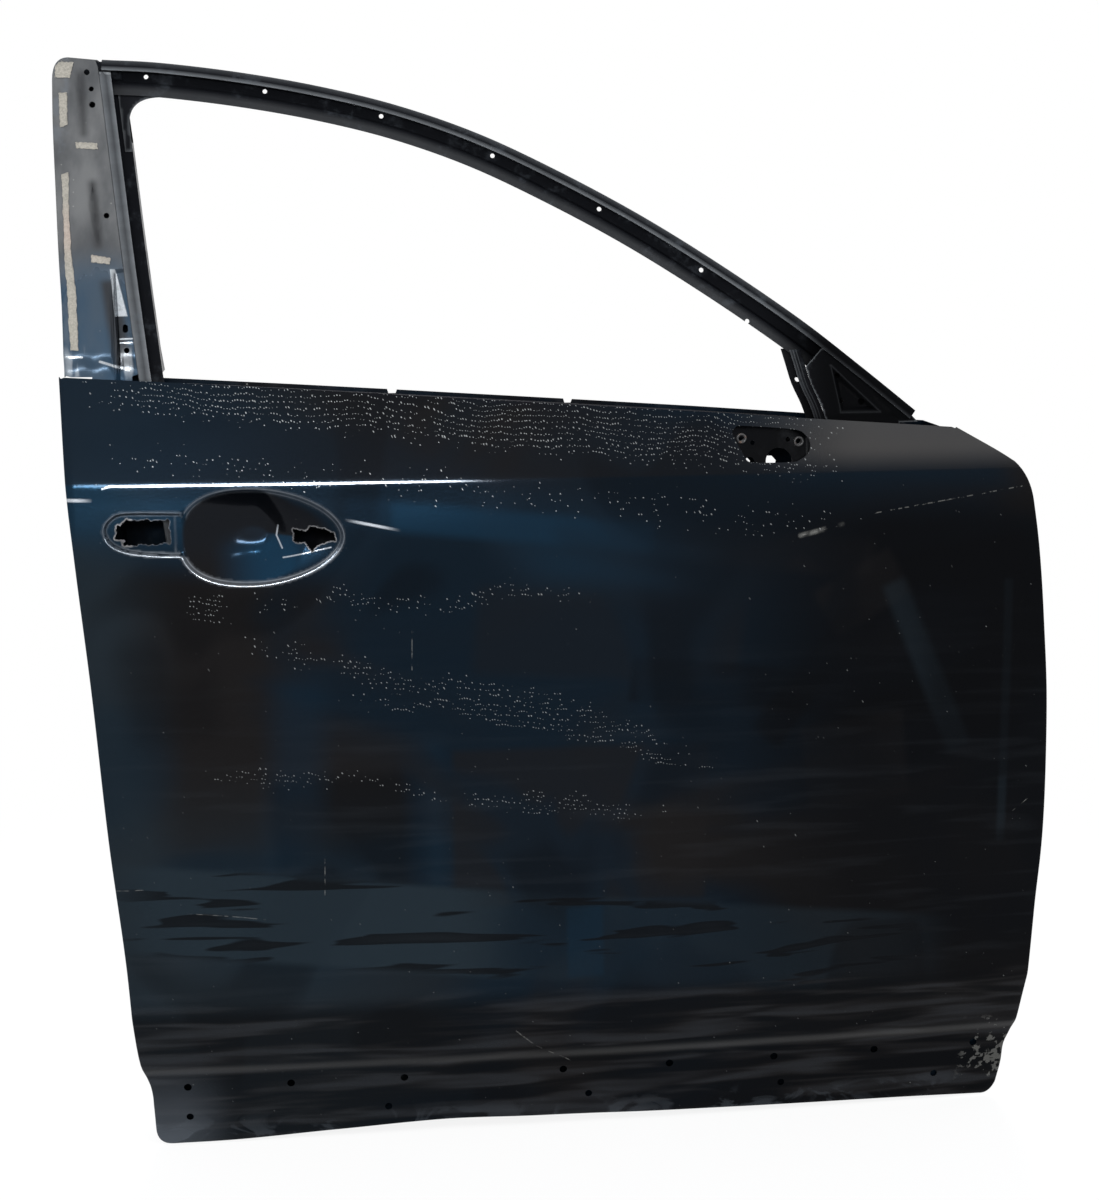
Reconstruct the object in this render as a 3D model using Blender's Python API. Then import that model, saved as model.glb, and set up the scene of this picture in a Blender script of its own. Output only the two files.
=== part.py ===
"""Front side door of a car as a bare shell: painted skin, inner panel and window frame.

The door keeps its own frame: +X to the front of the car, -Y to the outside, +Z up,
z = 0 at the lowest edge of the skin. All lengths are metres. Every pressing is a sheet
drawn over a height y(x, z) and thickened; every rail is a section carried along a line.
"""
import math

import bmesh
import bpy
import numpy as np
from mathutils import Vector
from mathutils.geometry import delaunay_2d_cdt

# Gauges and clearances
SHEET = 0.0008
HEAVY = 0.0015
CLEAR = 0.0003
HEM_CLEAR = 0.0005
HEM_WIDTH = 0.009
HEM_PITCH = 3 * SHEET + 2 * HEM_CLEAR

# Lengths of facets along outlines and across flat fields
STEP = 0.034
FIELD = 0.062
FINE_FIELD = 0.052
INNER_FIELD = 0.085
MIN_EDGE = 0.0012
MAX_MITRE = 2.2
SLIVER = 0.012

# Form of the skin: a crowned sheet whose section over height has five creases
CROWN_X = -0.15
CROWN_RADIUS = 12.0
SKIN_DEPTH = 0.093
Z_RECESS = 0.090
Z_STEP = 0.105
Z_SILL = 0.172
Z_LINE = 0.785
FOOT = [(-0.01, 0.0287), (Z_RECESS, 0.022), (Z_STEP, 0.012), (Z_SILL, -0.004)]
BODY = [(Z_SILL, -0.004), (0.25, 0.0025), (0.32, 0.0035), (0.45, -0.004), (0.60, -0.011), (0.70, -0.010),
        (Z_LINE, 0.0)]
SHOULDER = [(0.90, 0.031), (1.02, 0.065), (1.12, 0.105), (1.26, 0.163)]
CREASES = [Z_RECESS, Z_STEP, Z_SILL, Z_LINE]

# Outline of the skin in (x, z), from the rear belt corner round to the front belt corner
REAR_EDGE = [(-0.551, 0.898), (-0.546, 0.781), (-0.539, 0.696), (-0.529, 0.562), (-0.519, 0.375),
             (-0.507, 0.232), (-0.499, 0.118), (-0.488, 0.074), (-0.486, 0.048), (-0.485, 0.022)]
REAR_FOOT = (-0.4845, 0.001)
BOTTOM_EDGE = [(-0.466, 0.0012), (-0.389, 0.003), (-0.272, 0.010), (-0.195, 0.0148), (-0.10, 0.016),
               (0.02, 0.013), (0.16, 0.010), (0.284, 0.008), (0.411, 0.006), (0.512, 0.003)]
FRONT_FOOT = (0.526, 0.001)
FRONT_EDGE = [(0.533, 0.018), (0.538, 0.045), (0.540, 0.070), (0.549, 0.096), (0.554, 0.15), (0.562, 0.25),
              (0.567, 0.35), (0.560, 0.50), (0.550, 0.598), (0.539, 0.692), (0.531, 0.748)]
FRONT_SHOULDER = (0.527, 0.776)
CHAMFER_EDGE = [(0.508, 0.793), (0.486, 0.8065), (0.440, 0.832)]
BELT_EDGE = [(0.440, 0.832), (0.256, 0.8455), (0.144, 0.854), (-0.10, 0.8705), (-0.348, 0.8865),
             (-0.551, 0.898)]

# Skin: holes for the sill cladding's clips
CLIP_RADIUS = 0.0045
CLIP_ROW_Z = 0.0745
CLIP_ROW_START = -0.446
CLIP_ROW_PITCHES = [0.0, 0.119, 0.251, 0.439, 0.567, 0.695, 0.820, 0.946]
LOW_CLIP_RADIUS = 0.0042
LOW_CLIPS = [(-0.445, 0.036), (-0.214, 0.038), (0.024, 0.040), (0.259, 0.039), (0.452, 0.036)]

# Skin: handle scoop, its lock pocket and the two torn-edged openings
SCOOP_CENTRE = (-0.351, 0.727)
SCOOP_REAR = 0.077
SCOOP_FRONT = 0.100
SCOOP_HALF_HEIGHT = 0.0525
SCOOP_DEPTH = 0.030
SCOOP_LAND_DEPTH = 0.010
SCOOP_LAND_X = (-0.335, -0.290)
SCOOP_RINGS = [1.0, 0.93, 0.80, 0.62, 0.40]
SCOOP_SIDES = 28
POCKET = [(-0.432, 0.7545), (-0.482, 0.7555), (-0.500, 0.750), (-0.508, 0.737), (-0.502, 0.722),
          (-0.483, 0.7125), (-0.452, 0.7085), (-0.432, 0.7075)]
POCKET_DEPTH = 0.004
POCKET_RAMP = 0.0045
LOCK_OPENING = [(-0.494, 0.742), (-0.485, 0.744), (-0.484, 0.7475), (-0.438, 0.7465), (-0.437, 0.7225),
                (-0.452, 0.721), (-0.487, 0.7205), (-0.487, 0.7255), (-0.4945, 0.7275)]
GRIP_OPENING = [(-0.306, 0.7335), (-0.291, 0.7325), (-0.285, 0.738), (-0.262, 0.731), (-0.2605, 0.7225),
                (-0.278, 0.7185), (-0.2855, 0.7105), (-0.293, 0.7195), (-0.306, 0.7205)]

# Skin: opening for the mirror's foot
MIRROR_OPENING = [(0.180, 0.829), (0.184, 0.836), (0.192, 0.8378), (0.249, 0.8332), (0.262, 0.828),
                  (0.2685, 0.8185), (0.266, 0.807), (0.256, 0.800), (0.246, 0.7975), (0.203, 0.7980), (0.195, 0.801)]

# Skin: dents as (x, z, half width, half height, depth inwards)
DENTS = [(-0.389, 0.362, 0.030, 0.022, 0.0045), (-0.365, 0.335, 0.022, 0.016, 0.0025),
         (-0.500, 0.310, 0.026, 0.014, 0.0035), (-0.410, 0.283, 0.055, 0.010, 0.0020),
         (-0.115, 0.045, 0.100, 0.022, 0.0030)]
DENT_REACH = 1.9

# Inner panel: flange, seal land and the deep drawn box
FLANGE_WIDTH = 0.0145
SEAL_WALL = 0.006
SEAL_Y = -0.045
BOX_EDGE = [(-0.5095, 0.93), (-0.508, 0.80), (-0.462, 0.088)]
BOX_REAR_FOOT = (-0.460, 0.056)
BOX_FLOOR = [(-0.425, 0.056), (0.462, 0.056)]
BOX_FRONT_FOOT = (0.497, 0.056)
BOX_FRONT = [(0.497, 0.092), (0.497, 0.722)]
BOX_SHOULDER = (0.497, 0.748)
BOX_CHAMFER = [(0.476, 0.772), (0.446, 0.800), (0.425, 0.830), (0.415, 0.93)]
BOX_DRAFT = 0.004
INNER_Y = 0.045
BELT_Y = 0.0
BELT_BAND = 0.035
BELT_SLOPE = 0.070
BELT_NOTCHES = [(-0.199, -0.188), (0.000, 0.010)]
BELT_NOTCH_DEPTH = 0.004

# Inner panel: openings as (centre x, centre z, width, height, corner radius)
MODULE_OPENING = (-0.085, 0.500, 0.500, 0.330, 0.050)
FRONT_ACCESS = (0.330, 0.545, 0.150, 0.190, 0.030)
REAR_ACCESS = (-0.412, 0.395, 0.060, 0.120, 0.022)
SPEAKER = (0.310, 0.250, 0.083)
SPEAKER_RIM = 0.020
SPEAKER_RISE = 0.006
MODULE_RIM = 0.022
MODULE_STEP = 0.006
PRESS_RAMP = 0.005
MIRROR_SIGHT_HOLES = [(0.2415, 0.7815, 0.011), (0.2150, 0.7825, 0.007)]
TRIM_HOLE_RADIUS = 0.0045
TRIM_HOLES = [(-0.455, 0.300), (-0.440, 0.120), (-0.200, 0.100), (0.060, 0.100), (0.460, 0.110), (0.465, 0.440),
              (0.455, 0.690), (-0.470, 0.665), (-0.150, 0.720), (0.120, 0.720)]
RIB_DEPTH = 0.005
RIBS = [(-0.180, 0.205, 0.330, 0.036, 0.017), (-0.360, 0.180, 0.018, 0.110, 0.008),
        (0.100, 0.722, 0.250, 0.014, 0.006)]

# Window frame: outer edge of the header in (x, z), then its section as (across, inwards)
HEADER_EDGE = [(-0.5028, 1.2330), (-0.440, 1.2300), (-0.353, 1.2200), (-0.265, 1.2050), (-0.178, 1.1840),
               (-0.090, 1.1535), (-0.003, 1.1130), (0.085, 1.0660), (0.173, 1.0120), (0.262, 0.9520),
               (0.330, 0.9000), (0.392, 0.8505)]
HEADER_SECTION = [(0.0105, 0.0005), (0.0, 0.0015), (0.0005, 0.020), (0.022, 0.020), (0.0235, 0.015),
                  (0.0360, 0.015)]
HEADER_BOX = [(0.0350, 0.0153), (0.0260, 0.0153), (0.0250, 0.042), (0.0012, 0.042), (0.0012, 0.0203)]
HEADER_HOLE_START = 0.047
HEADER_HOLE_PITCH = 0.1325
HEADER_HOLE_COUNT = 6
HEADER_HOLE_ACROSS = 0.0148
HEADER_HOLE_RADIUS = 0.0026
HEADER_ACCESS_RADIUS = 0.0075
HEADER_EDGE_HOLE = (0.200, 0.9535)
FRAME_DEPTH = 0.042

# Window frame: rear pillar plate
PILLAR_REAR = [(-0.5455, 0.8976), (-0.5465, 0.968), (-0.549, 1.020), (-0.552, 1.085), (-0.5555, 1.160),
               (-0.5565, 1.212)]
PILLAR_TOP_CORNER = (-0.5565, 1.2355)
PILLAR_TOP = [(-0.540, 1.2362), (-0.508, 1.2335)]
PILLAR_FRONT = [(-0.508, 1.2335), (-0.467, 0.900)]
PILLAR_TAB = (-0.516, -0.474, 0.815)
PILLAR_FLANGE = 0.024
PILLAR_JOGGLE = 0.0042
PILLAR_JOGGLE_Z = (0.903, 0.922)
PILLAR_SPINDLES = [[(-0.529, 1.226), (-0.519, 1.216), (-0.519, 1.180), (-0.522, 1.150), (-0.529, 1.180),
                    (-0.532, 1.210)],
                   [(-0.515, 1.108), (-0.507, 1.089), (-0.503, 1.057), (-0.503, 1.032), (-0.511, 1.041),
                    (-0.518, 1.078)]]
SPINDLE_DEPTH = 0.003
PILLAR_RECESS = [(-0.494, 1.010), (-0.460, 1.014), (-0.448, 0.890), (-0.491, 0.890)]
PILLAR_RECESS_DEPTH = 0.005
PILLAR_INNER_TAB = (-0.499, -0.458, 0.862)
PILLAR_INNER_BASE = 0.900
PILLAR_INNER_RISE = (0.893, 0.925)
PILLAR_INNER_FRONT = [0.98, 1.06, 1.145]
PILLAR_INNER_STEP = (-0.5054, 1.193)
PILLAR_HOLES = [(-0.519, 1.220, 0.0032), (-0.514, 1.202, 0.0027), (-0.513, 1.185, 0.0034),
                (-0.498, 1.067, 0.0030), (-0.480, 0.948, 0.0034), (-0.479, 0.925, 0.0030)]

# Glass run channels as sections (across towards the glass, inwards)
REAR_RUN_SECTION = [(0.0130, 0.0010), (0.0004, 0.0010), (0.0004, 0.020), (0.0245, 0.020)]
REAR_RUN_LINE = [(-0.5034, 1.1962), (-0.467, 0.900), (-0.4255, 0.560), (-0.4178, 0.495)]
FRONT_RUN_SECTION = [(-0.0120, 0.0035), (-0.0085, 0.0025), (-0.0050, 0.0035), (0.0, 0.0035), (0.0, 0.020),
                     (-0.0180, 0.020)]
FRONT_RUN_LINE = [(0.2665, 0.9005), (0.2725, 0.8800), (0.2860, 0.8480), (0.2930, 0.800), (0.3170, 0.480)]
RUN_LEVEL_Z = 0.90
RUN_GAP = 0.001
FRONT_RUN_LEVEL_Z = 0.848
REAR_BRACKET = (-0.4165, -0.392, -0.366, 0.506, 0.540)
FRONT_BRACKET = (0.3145, 0.240, 0.214, 0.492, 0.526)

# Corner pieces of the frame
GUSSET_RADIUS = 0.034
GUSSET_FOOT_Z = 1.135
GUSSET_TOP = [(-0.4395, 1.1942), (-0.405, 1.1915), (-0.405, 1.1965), (-0.4395, 1.199)]
GUSSET_LAP = 0.008
GUSSET_DEPTH = 0.0181
CORNER_PANEL = [(0.372, 0.800), (0.374, 0.8380), (0.3955, 0.8385), (0.3883, 0.8458), (0.3263, 0.8953),
                (0.2963, 0.9188), (0.2860, 0.9200)]
CORNER_PANEL_FOOT_Z = 0.800
CORNER_PANEL_DEPTH = 0.0024
CORNER_JOGGLE = 0.0018
CORNER_JOGGLE_Z = (0.843, 0.850)
CORNER_RECESS = [(0.2960, 0.9020), (0.3060, 0.8500), (0.352, 0.8500)]
CORNER_RECESS_DEPTH = 0.006
CORNER_HOLES = [(0.3035, 0.890, 0.003), (0.3075, 0.862, 0.003), (0.331, 0.861, 0.0035)]
FOOT_PLATE = [(0.300, 0.800), (0.360, 0.800), (0.360, 0.868), (0.330, 0.892), (0.300, 0.912)]
FOOT_JOGGLE_Z = (0.836, 0.862)

# Belt reinforcements
OUTER_BELT_SPAN = (-0.412, 0.155)
OUTER_BELT_SECTION = [(-0.0020, 0.0013), (-0.013, 0.0013), (-0.016, 0.013), (-0.042, 0.014), (-0.046, 0.0013),
                      (-0.056, 0.0013)]
INNER_BELT_SPAN = (-0.420, 0.270)
INNER_BELT_SECTION = [(-0.0060, 0.0), (-0.011, 0.0), (-0.014, -0.011), (-0.025, -0.011), (-0.028, 0.0),
                      (-0.0335, 0.0)]

# Side impact beam and its end brackets
BEAM_RADIUS = 0.016
BEAM_WALL = 0.002
BEAM_REAR = (-0.392, 0.300)
BEAM_FRONT = (0.410, 0.455)
BRACKET_FOLD = 0.010
MASTIC_PLACES = [0.25, 0.50, 0.75]
MASTIC_SIZE = (0.050, 0.024)

BRACKET_REAR = [(-0.4845, 0.240), (-0.400, 0.272), (-0.332, 0.282), (-0.332, 0.343), (-0.400, 0.334),
                (-0.4845, 0.345)]
BRACKET_FRONT = [(0.530, 0.400), (0.530, 0.510), (0.420, 0.490), (0.350, 0.476), (0.350, 0.413), (0.420, 0.422)]

# Hinges, check link and latch: heights on the hinge and latch faces
HINGE_HEIGHTS = {"upper": 0.640, "lower": 0.240}
HINGE_BOLT_PITCH = 0.056
HINGE_BOLT_Y = -0.004
HINGE_BOLT_RADIUS = 0.0055
HINGE_PLATE_HEIGHT = 0.110
HINGE_PLATE_RETURN = 0.045
CHECK_HEIGHT = 0.430
CHECK_BOLT_PITCH = 0.070
CHECK_BOLT_RADIUS = 0.0042
CHECK_SLOT = (0.022, 0.040)
SLOT_CORNER = 0.0065
CHECK_PLATE_HEIGHT = 0.095
GROMMET_HEIGHT = (CHECK_HEIGHT + HINGE_HEIGHTS["upper"]) / 2
GROMMET_RADIUS = 0.019
LATCH_HEIGHT = 0.615
LATCH_SLOT = (0.030, FINE_FIELD)
LATCH_SCREWS = [(-0.022, 0.030), (0.020, 0.040), (0.020, -0.040)]
LATCH_SCREW_RADIUS = 0.004
LATCH_PLATE_HEIGHT = 0.120
FACE_MARGIN = 0.006
NUT_RADIUS = 0.008
NUT_BORE = 0.0042
NUT_HEIGHT = 0.007

# Mirror and handle brackets behind the skin
MIRROR_PLATE = [(0.163, 0.772), (0.2755, 0.772), (0.2755, 0.8405), (0.163, 0.8405)]
MIRROR_PLATE_DEPTH = 0.0013
MIRROR_DISH = [(0.171, 0.779), (0.2715, 0.779), (0.2715, 0.870), (0.171, 0.870)]
MIRROR_DISH_DEPTH = 0.006
MIRROR_DISH_RAMP = 0.005
MIRROR_NUTS = [(0.1915, 0.8235), (0.2570, 0.8190)]
MIRROR_NUT_RADIUS = 0.0058
MIRROR_NUT_BORE = 0.0034
MIRROR_PLATE_HOLES = [(0.204, 0.8185, 0.0026), (0.2445, 0.8215, 0.0026)]
MIRROR_ARCHES = [(0.2335, 0.7975, 0.0150), (0.2000, 0.7975, 0.0055)]
MIRROR_NUT_HEIGHT = 0.008
MIRROR_NUT_PROUD = 0.002
LOCK_PLATE = [(-0.519, 0.700), (-0.4365, 0.698), (-0.4365, 0.766), (-0.519, 0.768)]
LOCK_PLATE_GAP = 0.0026

# Foam tape left on the pillar plate
TAPE_GAP = 0.0006
TAPE_THICKNESS = 0.0012
TAPES = {
    "corner": [(-0.553, 1.214), (-0.537, 1.214), (-0.533, 1.231), (-0.549, 1.231), (-0.553, 1.226)],
    "upper": [(-0.5475, 1.1605), (-0.5395, 1.163), (-0.540, 1.1985), (-0.549, 1.1975)],
    "middle": [(-0.5305, 1.1385), (-0.507, 1.1370), (-0.508, 1.1440), (-0.531, 1.1450)],
    "long": [(-0.5380, 0.926), (-0.5295, 0.926), (-0.5305, 0.980), (-0.5355, 1.030), (-0.5375, 1.062),
             (-0.5385, 1.113), (-0.5460, 1.111), (-0.5435, 1.062), (-0.5430, 1.030), (-0.5400, 0.980)],
    "lower": [(-0.5145, 1.0180), (-0.4945, 1.0160), (-0.4940, 1.0225), (-0.5145, 1.0260)],
}

# Colours as (red, green, blue, roughness, metallic)
NAVY = (0.008, 0.024, 0.052, 0.25, 0.55)
PRIMER = (0.055, 0.060, 0.066, 0.50, 0.20)
BLACK_STEEL = (0.018, 0.019, 0.022, 0.55, 0.20)
BARE_STEEL = (0.36, 0.36, 0.35, 0.40, 0.90)
FOAM = (0.40, 0.37, 0.32, 0.95, 0.0)
MASTIC = (0.09, 0.09, 0.09, 0.90, 0.0)


def smooth(points, step=STEP):
    """Points on a Catmull-Rom curve through the given ones, no more than a step apart."""
    given = [np.array(p, float) for p in points]
    run = [2 * given[0] - given[1], *given, 2 * given[-1] - given[-2]]
    out = []
    for a, b, c, d in zip(run, run[1:], run[2:], run[3:]):
        count = max(1, math.ceil(np.linalg.norm(c - b) / step))
        for t in np.arange(count) / count:
            out.append(0.5 * (2 * b + (c - a) * t + (2 * a - 5 * b + 4 * c - d) * t ** 2
                              + (3 * b - a - 3 * c + d) * t ** 3))
    return np.array(out + [given[-1]])


def round_corner(start, sharp, end, count=4):
    """Points between start and end on a rounded corner about a sharp one, ends left out."""
    a, b, c = (np.array(p, float) for p in (start, sharp, end))
    return np.array([(1 - t) ** 2 * a + 2 * t * (1 - t) * b + t ** 2 * c
                     for t in np.linspace(0, 1, count + 1)[1:-1]])


def split_at(line, levels):
    """The same line with a point added wherever it crosses one of the levels of z."""
    out = [line[0]]
    for a, b in zip(line, line[1:]):
        cuts = sorted((z - a[1]) / (b[1] - a[1]) for z in levels if (a[1] - z) * (b[1] - z) < 0)
        out += [a + (b - a) * t for t in cuts if np.linalg.norm(b - a) * min(t, 1 - t) > MIN_EDGE]
        out.append(b)
    return np.array(out)


def inset(loop, distance):
    """A closed anticlockwise loop moved to its inside by a distance, with mitred corners."""
    points = np.array(loop, float)
    along = np.roll(points, -1, 0) - points
    along /= np.linalg.norm(along, axis=1)[:, None]
    normal = np.stack([-along[:, 1], along[:, 0]], 1)
    before = np.roll(normal, 1, 0)
    mitre = (normal + before) / (1 + (normal * before).sum(1))[:, None]
    return points + distance * mitre


def distance_to(x, z, line):
    """Distance of each point (x, z) to an open line."""
    a, b = line[:-1], line[1:]
    p = np.stack([x, z], -1)[:, None]
    d = b - a
    t = np.clip(((p - a) * d).sum(-1) / (d * d).sum(-1), 0, 1)
    return np.linalg.norm(p - a - t[..., None] * d, axis=-1).min(1)


def is_inside(x, z, loop):
    """Whether each point (x, z) lies inside a closed loop, by counting crossings."""
    a, b = loop, np.roll(loop, -1, 0)
    px, pz = x[:, None], z[:, None]
    spans = (a[:, 1] > pz) != (b[:, 1] > pz)
    rise = np.where(b[:, 1] == a[:, 1], 1.0, b[:, 1] - a[:, 1])
    left = px < a[:, 0] + (pz - a[:, 1]) * (b[:, 0] - a[:, 0]) / rise
    return (spans & left).sum(1) % 2 == 1


def depth_inside(x, z, loop):
    """How deep each point lies inside a closed loop; negative outside it."""
    away = distance_to(x, z, closed(loop))
    return np.where(is_inside(x, z, loop), away, -away)


def closed(loop):
    """The loop as an open line that ends where it starts."""
    return np.vstack([loop, loop[:1]])


def circle(cx, cz, radius, sides=10):
    """A regular polygon about a centre, anticlockwise."""
    turn = 2 * math.pi * (np.arange(sides) + 0.5) / sides
    return np.stack([cx + radius * np.cos(turn), cz + radius * np.sin(turn)], 1)


def rounded_box(cx, cz, width, height, radius, corner=4):
    """A rectangle with round corners, anticlockwise."""
    out = []
    for quarter, (sx, sz) in enumerate([(1, 1), (-1, 1), (-1, -1), (1, -1)]):
        for t in np.linspace(0, math.pi / 2, corner):
            turn = quarter * math.pi / 2 + t
            out.append((cx + sx * (width / 2 - radius) + radius * math.cos(turn),
                        cz + sz * (height / 2 - radius) + radius * math.sin(turn)))
    return np.array(out)


class Sheet:
    """A sheet under construction; its first face looks outwards, towards -Y."""

    def __init__(self):
        self.points = []
        self.faces = []

    def add(self, points, faces):
        base = len(self.points)
        self.points += [tuple(float(c) for c in p) for p in points]
        self.faces += [tuple(base + int(i) for i in f) for f in faces]

    def draw(self, outline, height, holes=(), lines=(), field=FIELD):
        """Fill an outline with triangles that follow the lines, and lift them to height(x, z)."""
        points, triangles = triangulate(outline, holes, lines, field)
        y = height(points[:, 0], points[:, 1])
        self.add(np.stack([points[:, 0], y, points[:, 1]], 1), triangles)

    def wall(self, line, near, far):
        """Quads along a line of (x, z), from height near(x, z) to height far(x, z)."""
        line = np.array(line)
        ends = [np.stack([line[:, 0], y(line[:, 0], line[:, 1]), line[:, 1]], 1) for y in (near, far)]
        self.loft(ends)

    def loft(self, rails):
        """Quads between rails, which are lines of equally many points."""
        count = len(rails[0])
        grid = np.vstack(rails)
        faces = [(r * count + i, (r + 1) * count + i, (r + 1) * count + i + 1, r * count + i + 1)
                 for r in range(len(rails) - 1) for i in range(count - 1)]
        self.add(grid, faces)

    def solid(self, name, colour, gauge=SHEET):
        """Weld the sheet, face it outwards and give it its gauge behind the faces."""
        mesh = bpy.data.meshes.new(name)
        mesh.from_pydata(self.points, [], self.faces)
        bm = bmesh.new()
        bm.from_mesh(mesh)
        bmesh.ops.remove_doubles(bm, verts=bm.verts, dist=0.00005)
        bmesh.ops.recalc_face_normals(bm, faces=bm.faces)
        bm.faces.ensure_lookup_table()
        if bm.faces[0].normal.y > 0:
            bmesh.ops.reverse_faces(bm, faces=bm.faces)
        thicken(bm, gauge)
        bm.to_mesh(mesh)
        bm.free()
        return place(name, mesh, colour)


def thicken(bm, gauge):
    """Close a sheet to a solid: each point gets a partner one gauge behind the planes of its faces."""
    sheet_faces, rims = list(bm.faces), [edge for edge in bm.edges if edge.is_boundary]
    partner = {}
    for vert in list(bm.verts):
        around = [face for face in vert.link_faces if not is_sliver(face)] or list(vert.link_faces)
        normals = np.array([face.normal for face in around])
        shift = np.linalg.lstsq(normals, np.full(len(around), -gauge), rcond=0.08)[0]
        shift *= min(1.0, MAX_MITRE * gauge / np.linalg.norm(shift))
        partner[vert] = bm.verts.new(vert.co + Vector(shift))
    for face in sheet_faces:
        bm.faces.new([partner[vert] for vert in reversed(face.verts)])
    for edge in rims:
        loop = edge.link_loops[0]
        start, end = loop.vert, loop.link_loop_next.vert
        bm.faces.new([end, start, partner[start], partner[end]])


def is_sliver(face):
    """Whether a face is too thin for its normal to count."""
    longest = max(edge.calc_length() for edge in face.edges)
    return 2 * face.calc_area() < SLIVER * longest ** 2


def triangulate(outline, holes, lines, field):
    """Constrained triangles inside an outline and outside its holes, with points spread in the fields."""
    loops = [np.array(loop, float) for loop in (outline, *holes)]
    runs = [closed(loop) for loop in loops] + [np.array(line, float) for line in lines]
    points, edges = [], []
    for run in runs:
        edges += [(len(points) + i, len(points) + i + 1) for i in range(len(run) - 1)]
        points += list(run)
    low, high = loops[0].min(0), loops[0].max(0)
    columns, rows = np.meshgrid(np.arange(low[0], high[0], field), np.arange(low[1], high[1], field * 0.8))
    columns = columns + (np.arange(len(rows)) % 2)[:, None] * field / 2
    x, z = columns.ravel(), rows.ravel()
    free = is_inside(x, z, loops[0])
    for run in runs:
        free[free] &= distance_to(x[free], z[free], run) > 0.42 * field
    points, edges, _ = constrain(points + list(zip(x[free], z[free])), edges)
    points, edges = join_close(points, edges, runs[:len(loops)])
    points, _, triangles = constrain(points, edges)
    middle = points[triangles].mean(1)
    keep = is_inside(middle[:, 0], middle[:, 1], loops[0])
    for hole in loops[1:]:
        keep &= ~is_inside(middle[:, 0], middle[:, 1], hole)
    used, renumbered = np.unique(triangles[keep], return_inverse=True)
    return points[used], renumbered.reshape(-1, 3)


def constrain(points, edges):
    """Delaunay triangles that keep the given edges: points, the kept edges' parts and triangles."""
    verts, all_edges, faces, _, sources, _ = delaunay_2d_cdt([Vector(p) for p in points], edges, [], 0, 1e-7)
    kept = [edge for edge, source in zip(all_edges, sources) if source]
    return np.array([tuple(v) for v in verts]), kept, np.array(faces)


def join_close(points, edges, rims):
    """Join points closer than MIN_EDGE, those on a rim staying where they are; edges follow."""
    near_rim = np.min([distance_to(points[:, 0], points[:, 1], rim) for rim in rims], axis=0)
    order = np.argsort(near_rim > 1e-6, kind="stable")
    ranked = points[order]
    gaps = np.linalg.norm(ranked[:, None] - ranked[None], axis=-1)
    first = np.argmax(gaps < MIN_EDGE, axis=1)
    first = first[first]
    used, renumbered = np.unique(first, return_inverse=True)
    place_of = np.empty(len(points), int)
    place_of[order] = renumbered
    moved = {tuple(sorted((int(place_of[a]), int(place_of[b])))) for a, b in edges}
    return ranked[used], sorted(edge for edge in moved if edge[0] != edge[1])


def material(name, colour):
    """A Principled material with its colour, roughness and metallic value."""
    made = bpy.data.materials.new(name)
    made.use_nodes = True
    shader = made.node_tree.nodes["Principled BSDF"]
    shader.inputs["Base Color"].default_value = (*colour[:3], 1.0)
    shader.inputs["Roughness"].default_value = colour[3]
    shader.inputs["Metallic"].default_value = colour[4]
    made.diffuse_color = (*colour[:3], 1.0)
    return made


def place(name, mesh, colour):
    """Put a mesh in the scene as an object with its own material."""
    body = bpy.data.objects.new(name, mesh)
    mesh.materials.append(material(name + "_finish", colour))
    bpy.context.scene.collection.objects.link(body)
    return body


def closed_body(name, points, faces, colour):
    """An object from a closed set of faces, turned to look outwards."""
    mesh = bpy.data.meshes.new(name)
    mesh.from_pydata([tuple(float(c) for c in p) for p in points], [], [tuple(f) for f in faces])
    bm = bmesh.new()
    bm.from_mesh(mesh)
    bmesh.ops.remove_doubles(bm, verts=bm.verts, dist=0.00002)
    bmesh.ops.recalc_face_normals(bm, faces=bm.faces)
    bm.to_mesh(mesh)
    bm.free()
    return place(name, mesh, colour)


def slab(name, outline, near, far, colour, field=FIELD):
    """A closed solid between two heights over an outline."""
    flat, triangles = triangulate(outline, (), (), field)
    rim = np.array(outline)
    sheets = [np.stack([flat[:, 0], y(flat[:, 0], flat[:, 1]), flat[:, 1]], 1) for y in (near, far)]
    edge = [np.stack([rim[:, 0], y(rim[:, 0], rim[:, 1]), rim[:, 1]], 1) for y in (near, far)]
    points = np.vstack(sheets + edge)
    count, side = len(flat), len(rim)
    faces = [tuple(t) for t in triangles] + [tuple(t[::-1] + count) for t in triangles]
    for i in range(side):
        j = (i + 1) % side
        faces.append((2 * count + i, 2 * count + j, 2 * count + side + j, 2 * count + side + i))
    return closed_body(name, points, faces, colour)


def prism(profile, centre, across, upward, length):
    """Corners and faces of a profile, given in (across, upward), carried both ways along its normal."""
    across, upward = Vector(across).normalized(), Vector(upward).normalized()
    along = across.cross(upward) * (length / 2)
    middle = [Vector(centre) + across * float(a) + upward * float(b) for a, b in profile]
    count = len(middle)
    points = [p - along for p in middle] + [p + along for p in middle]
    sides = [(i, (i + 1) % count, count + (i + 1) % count, count + i) for i in range(count)]
    return points, sides + [tuple(range(count))[::-1], tuple(range(count, 2 * count))]


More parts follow.
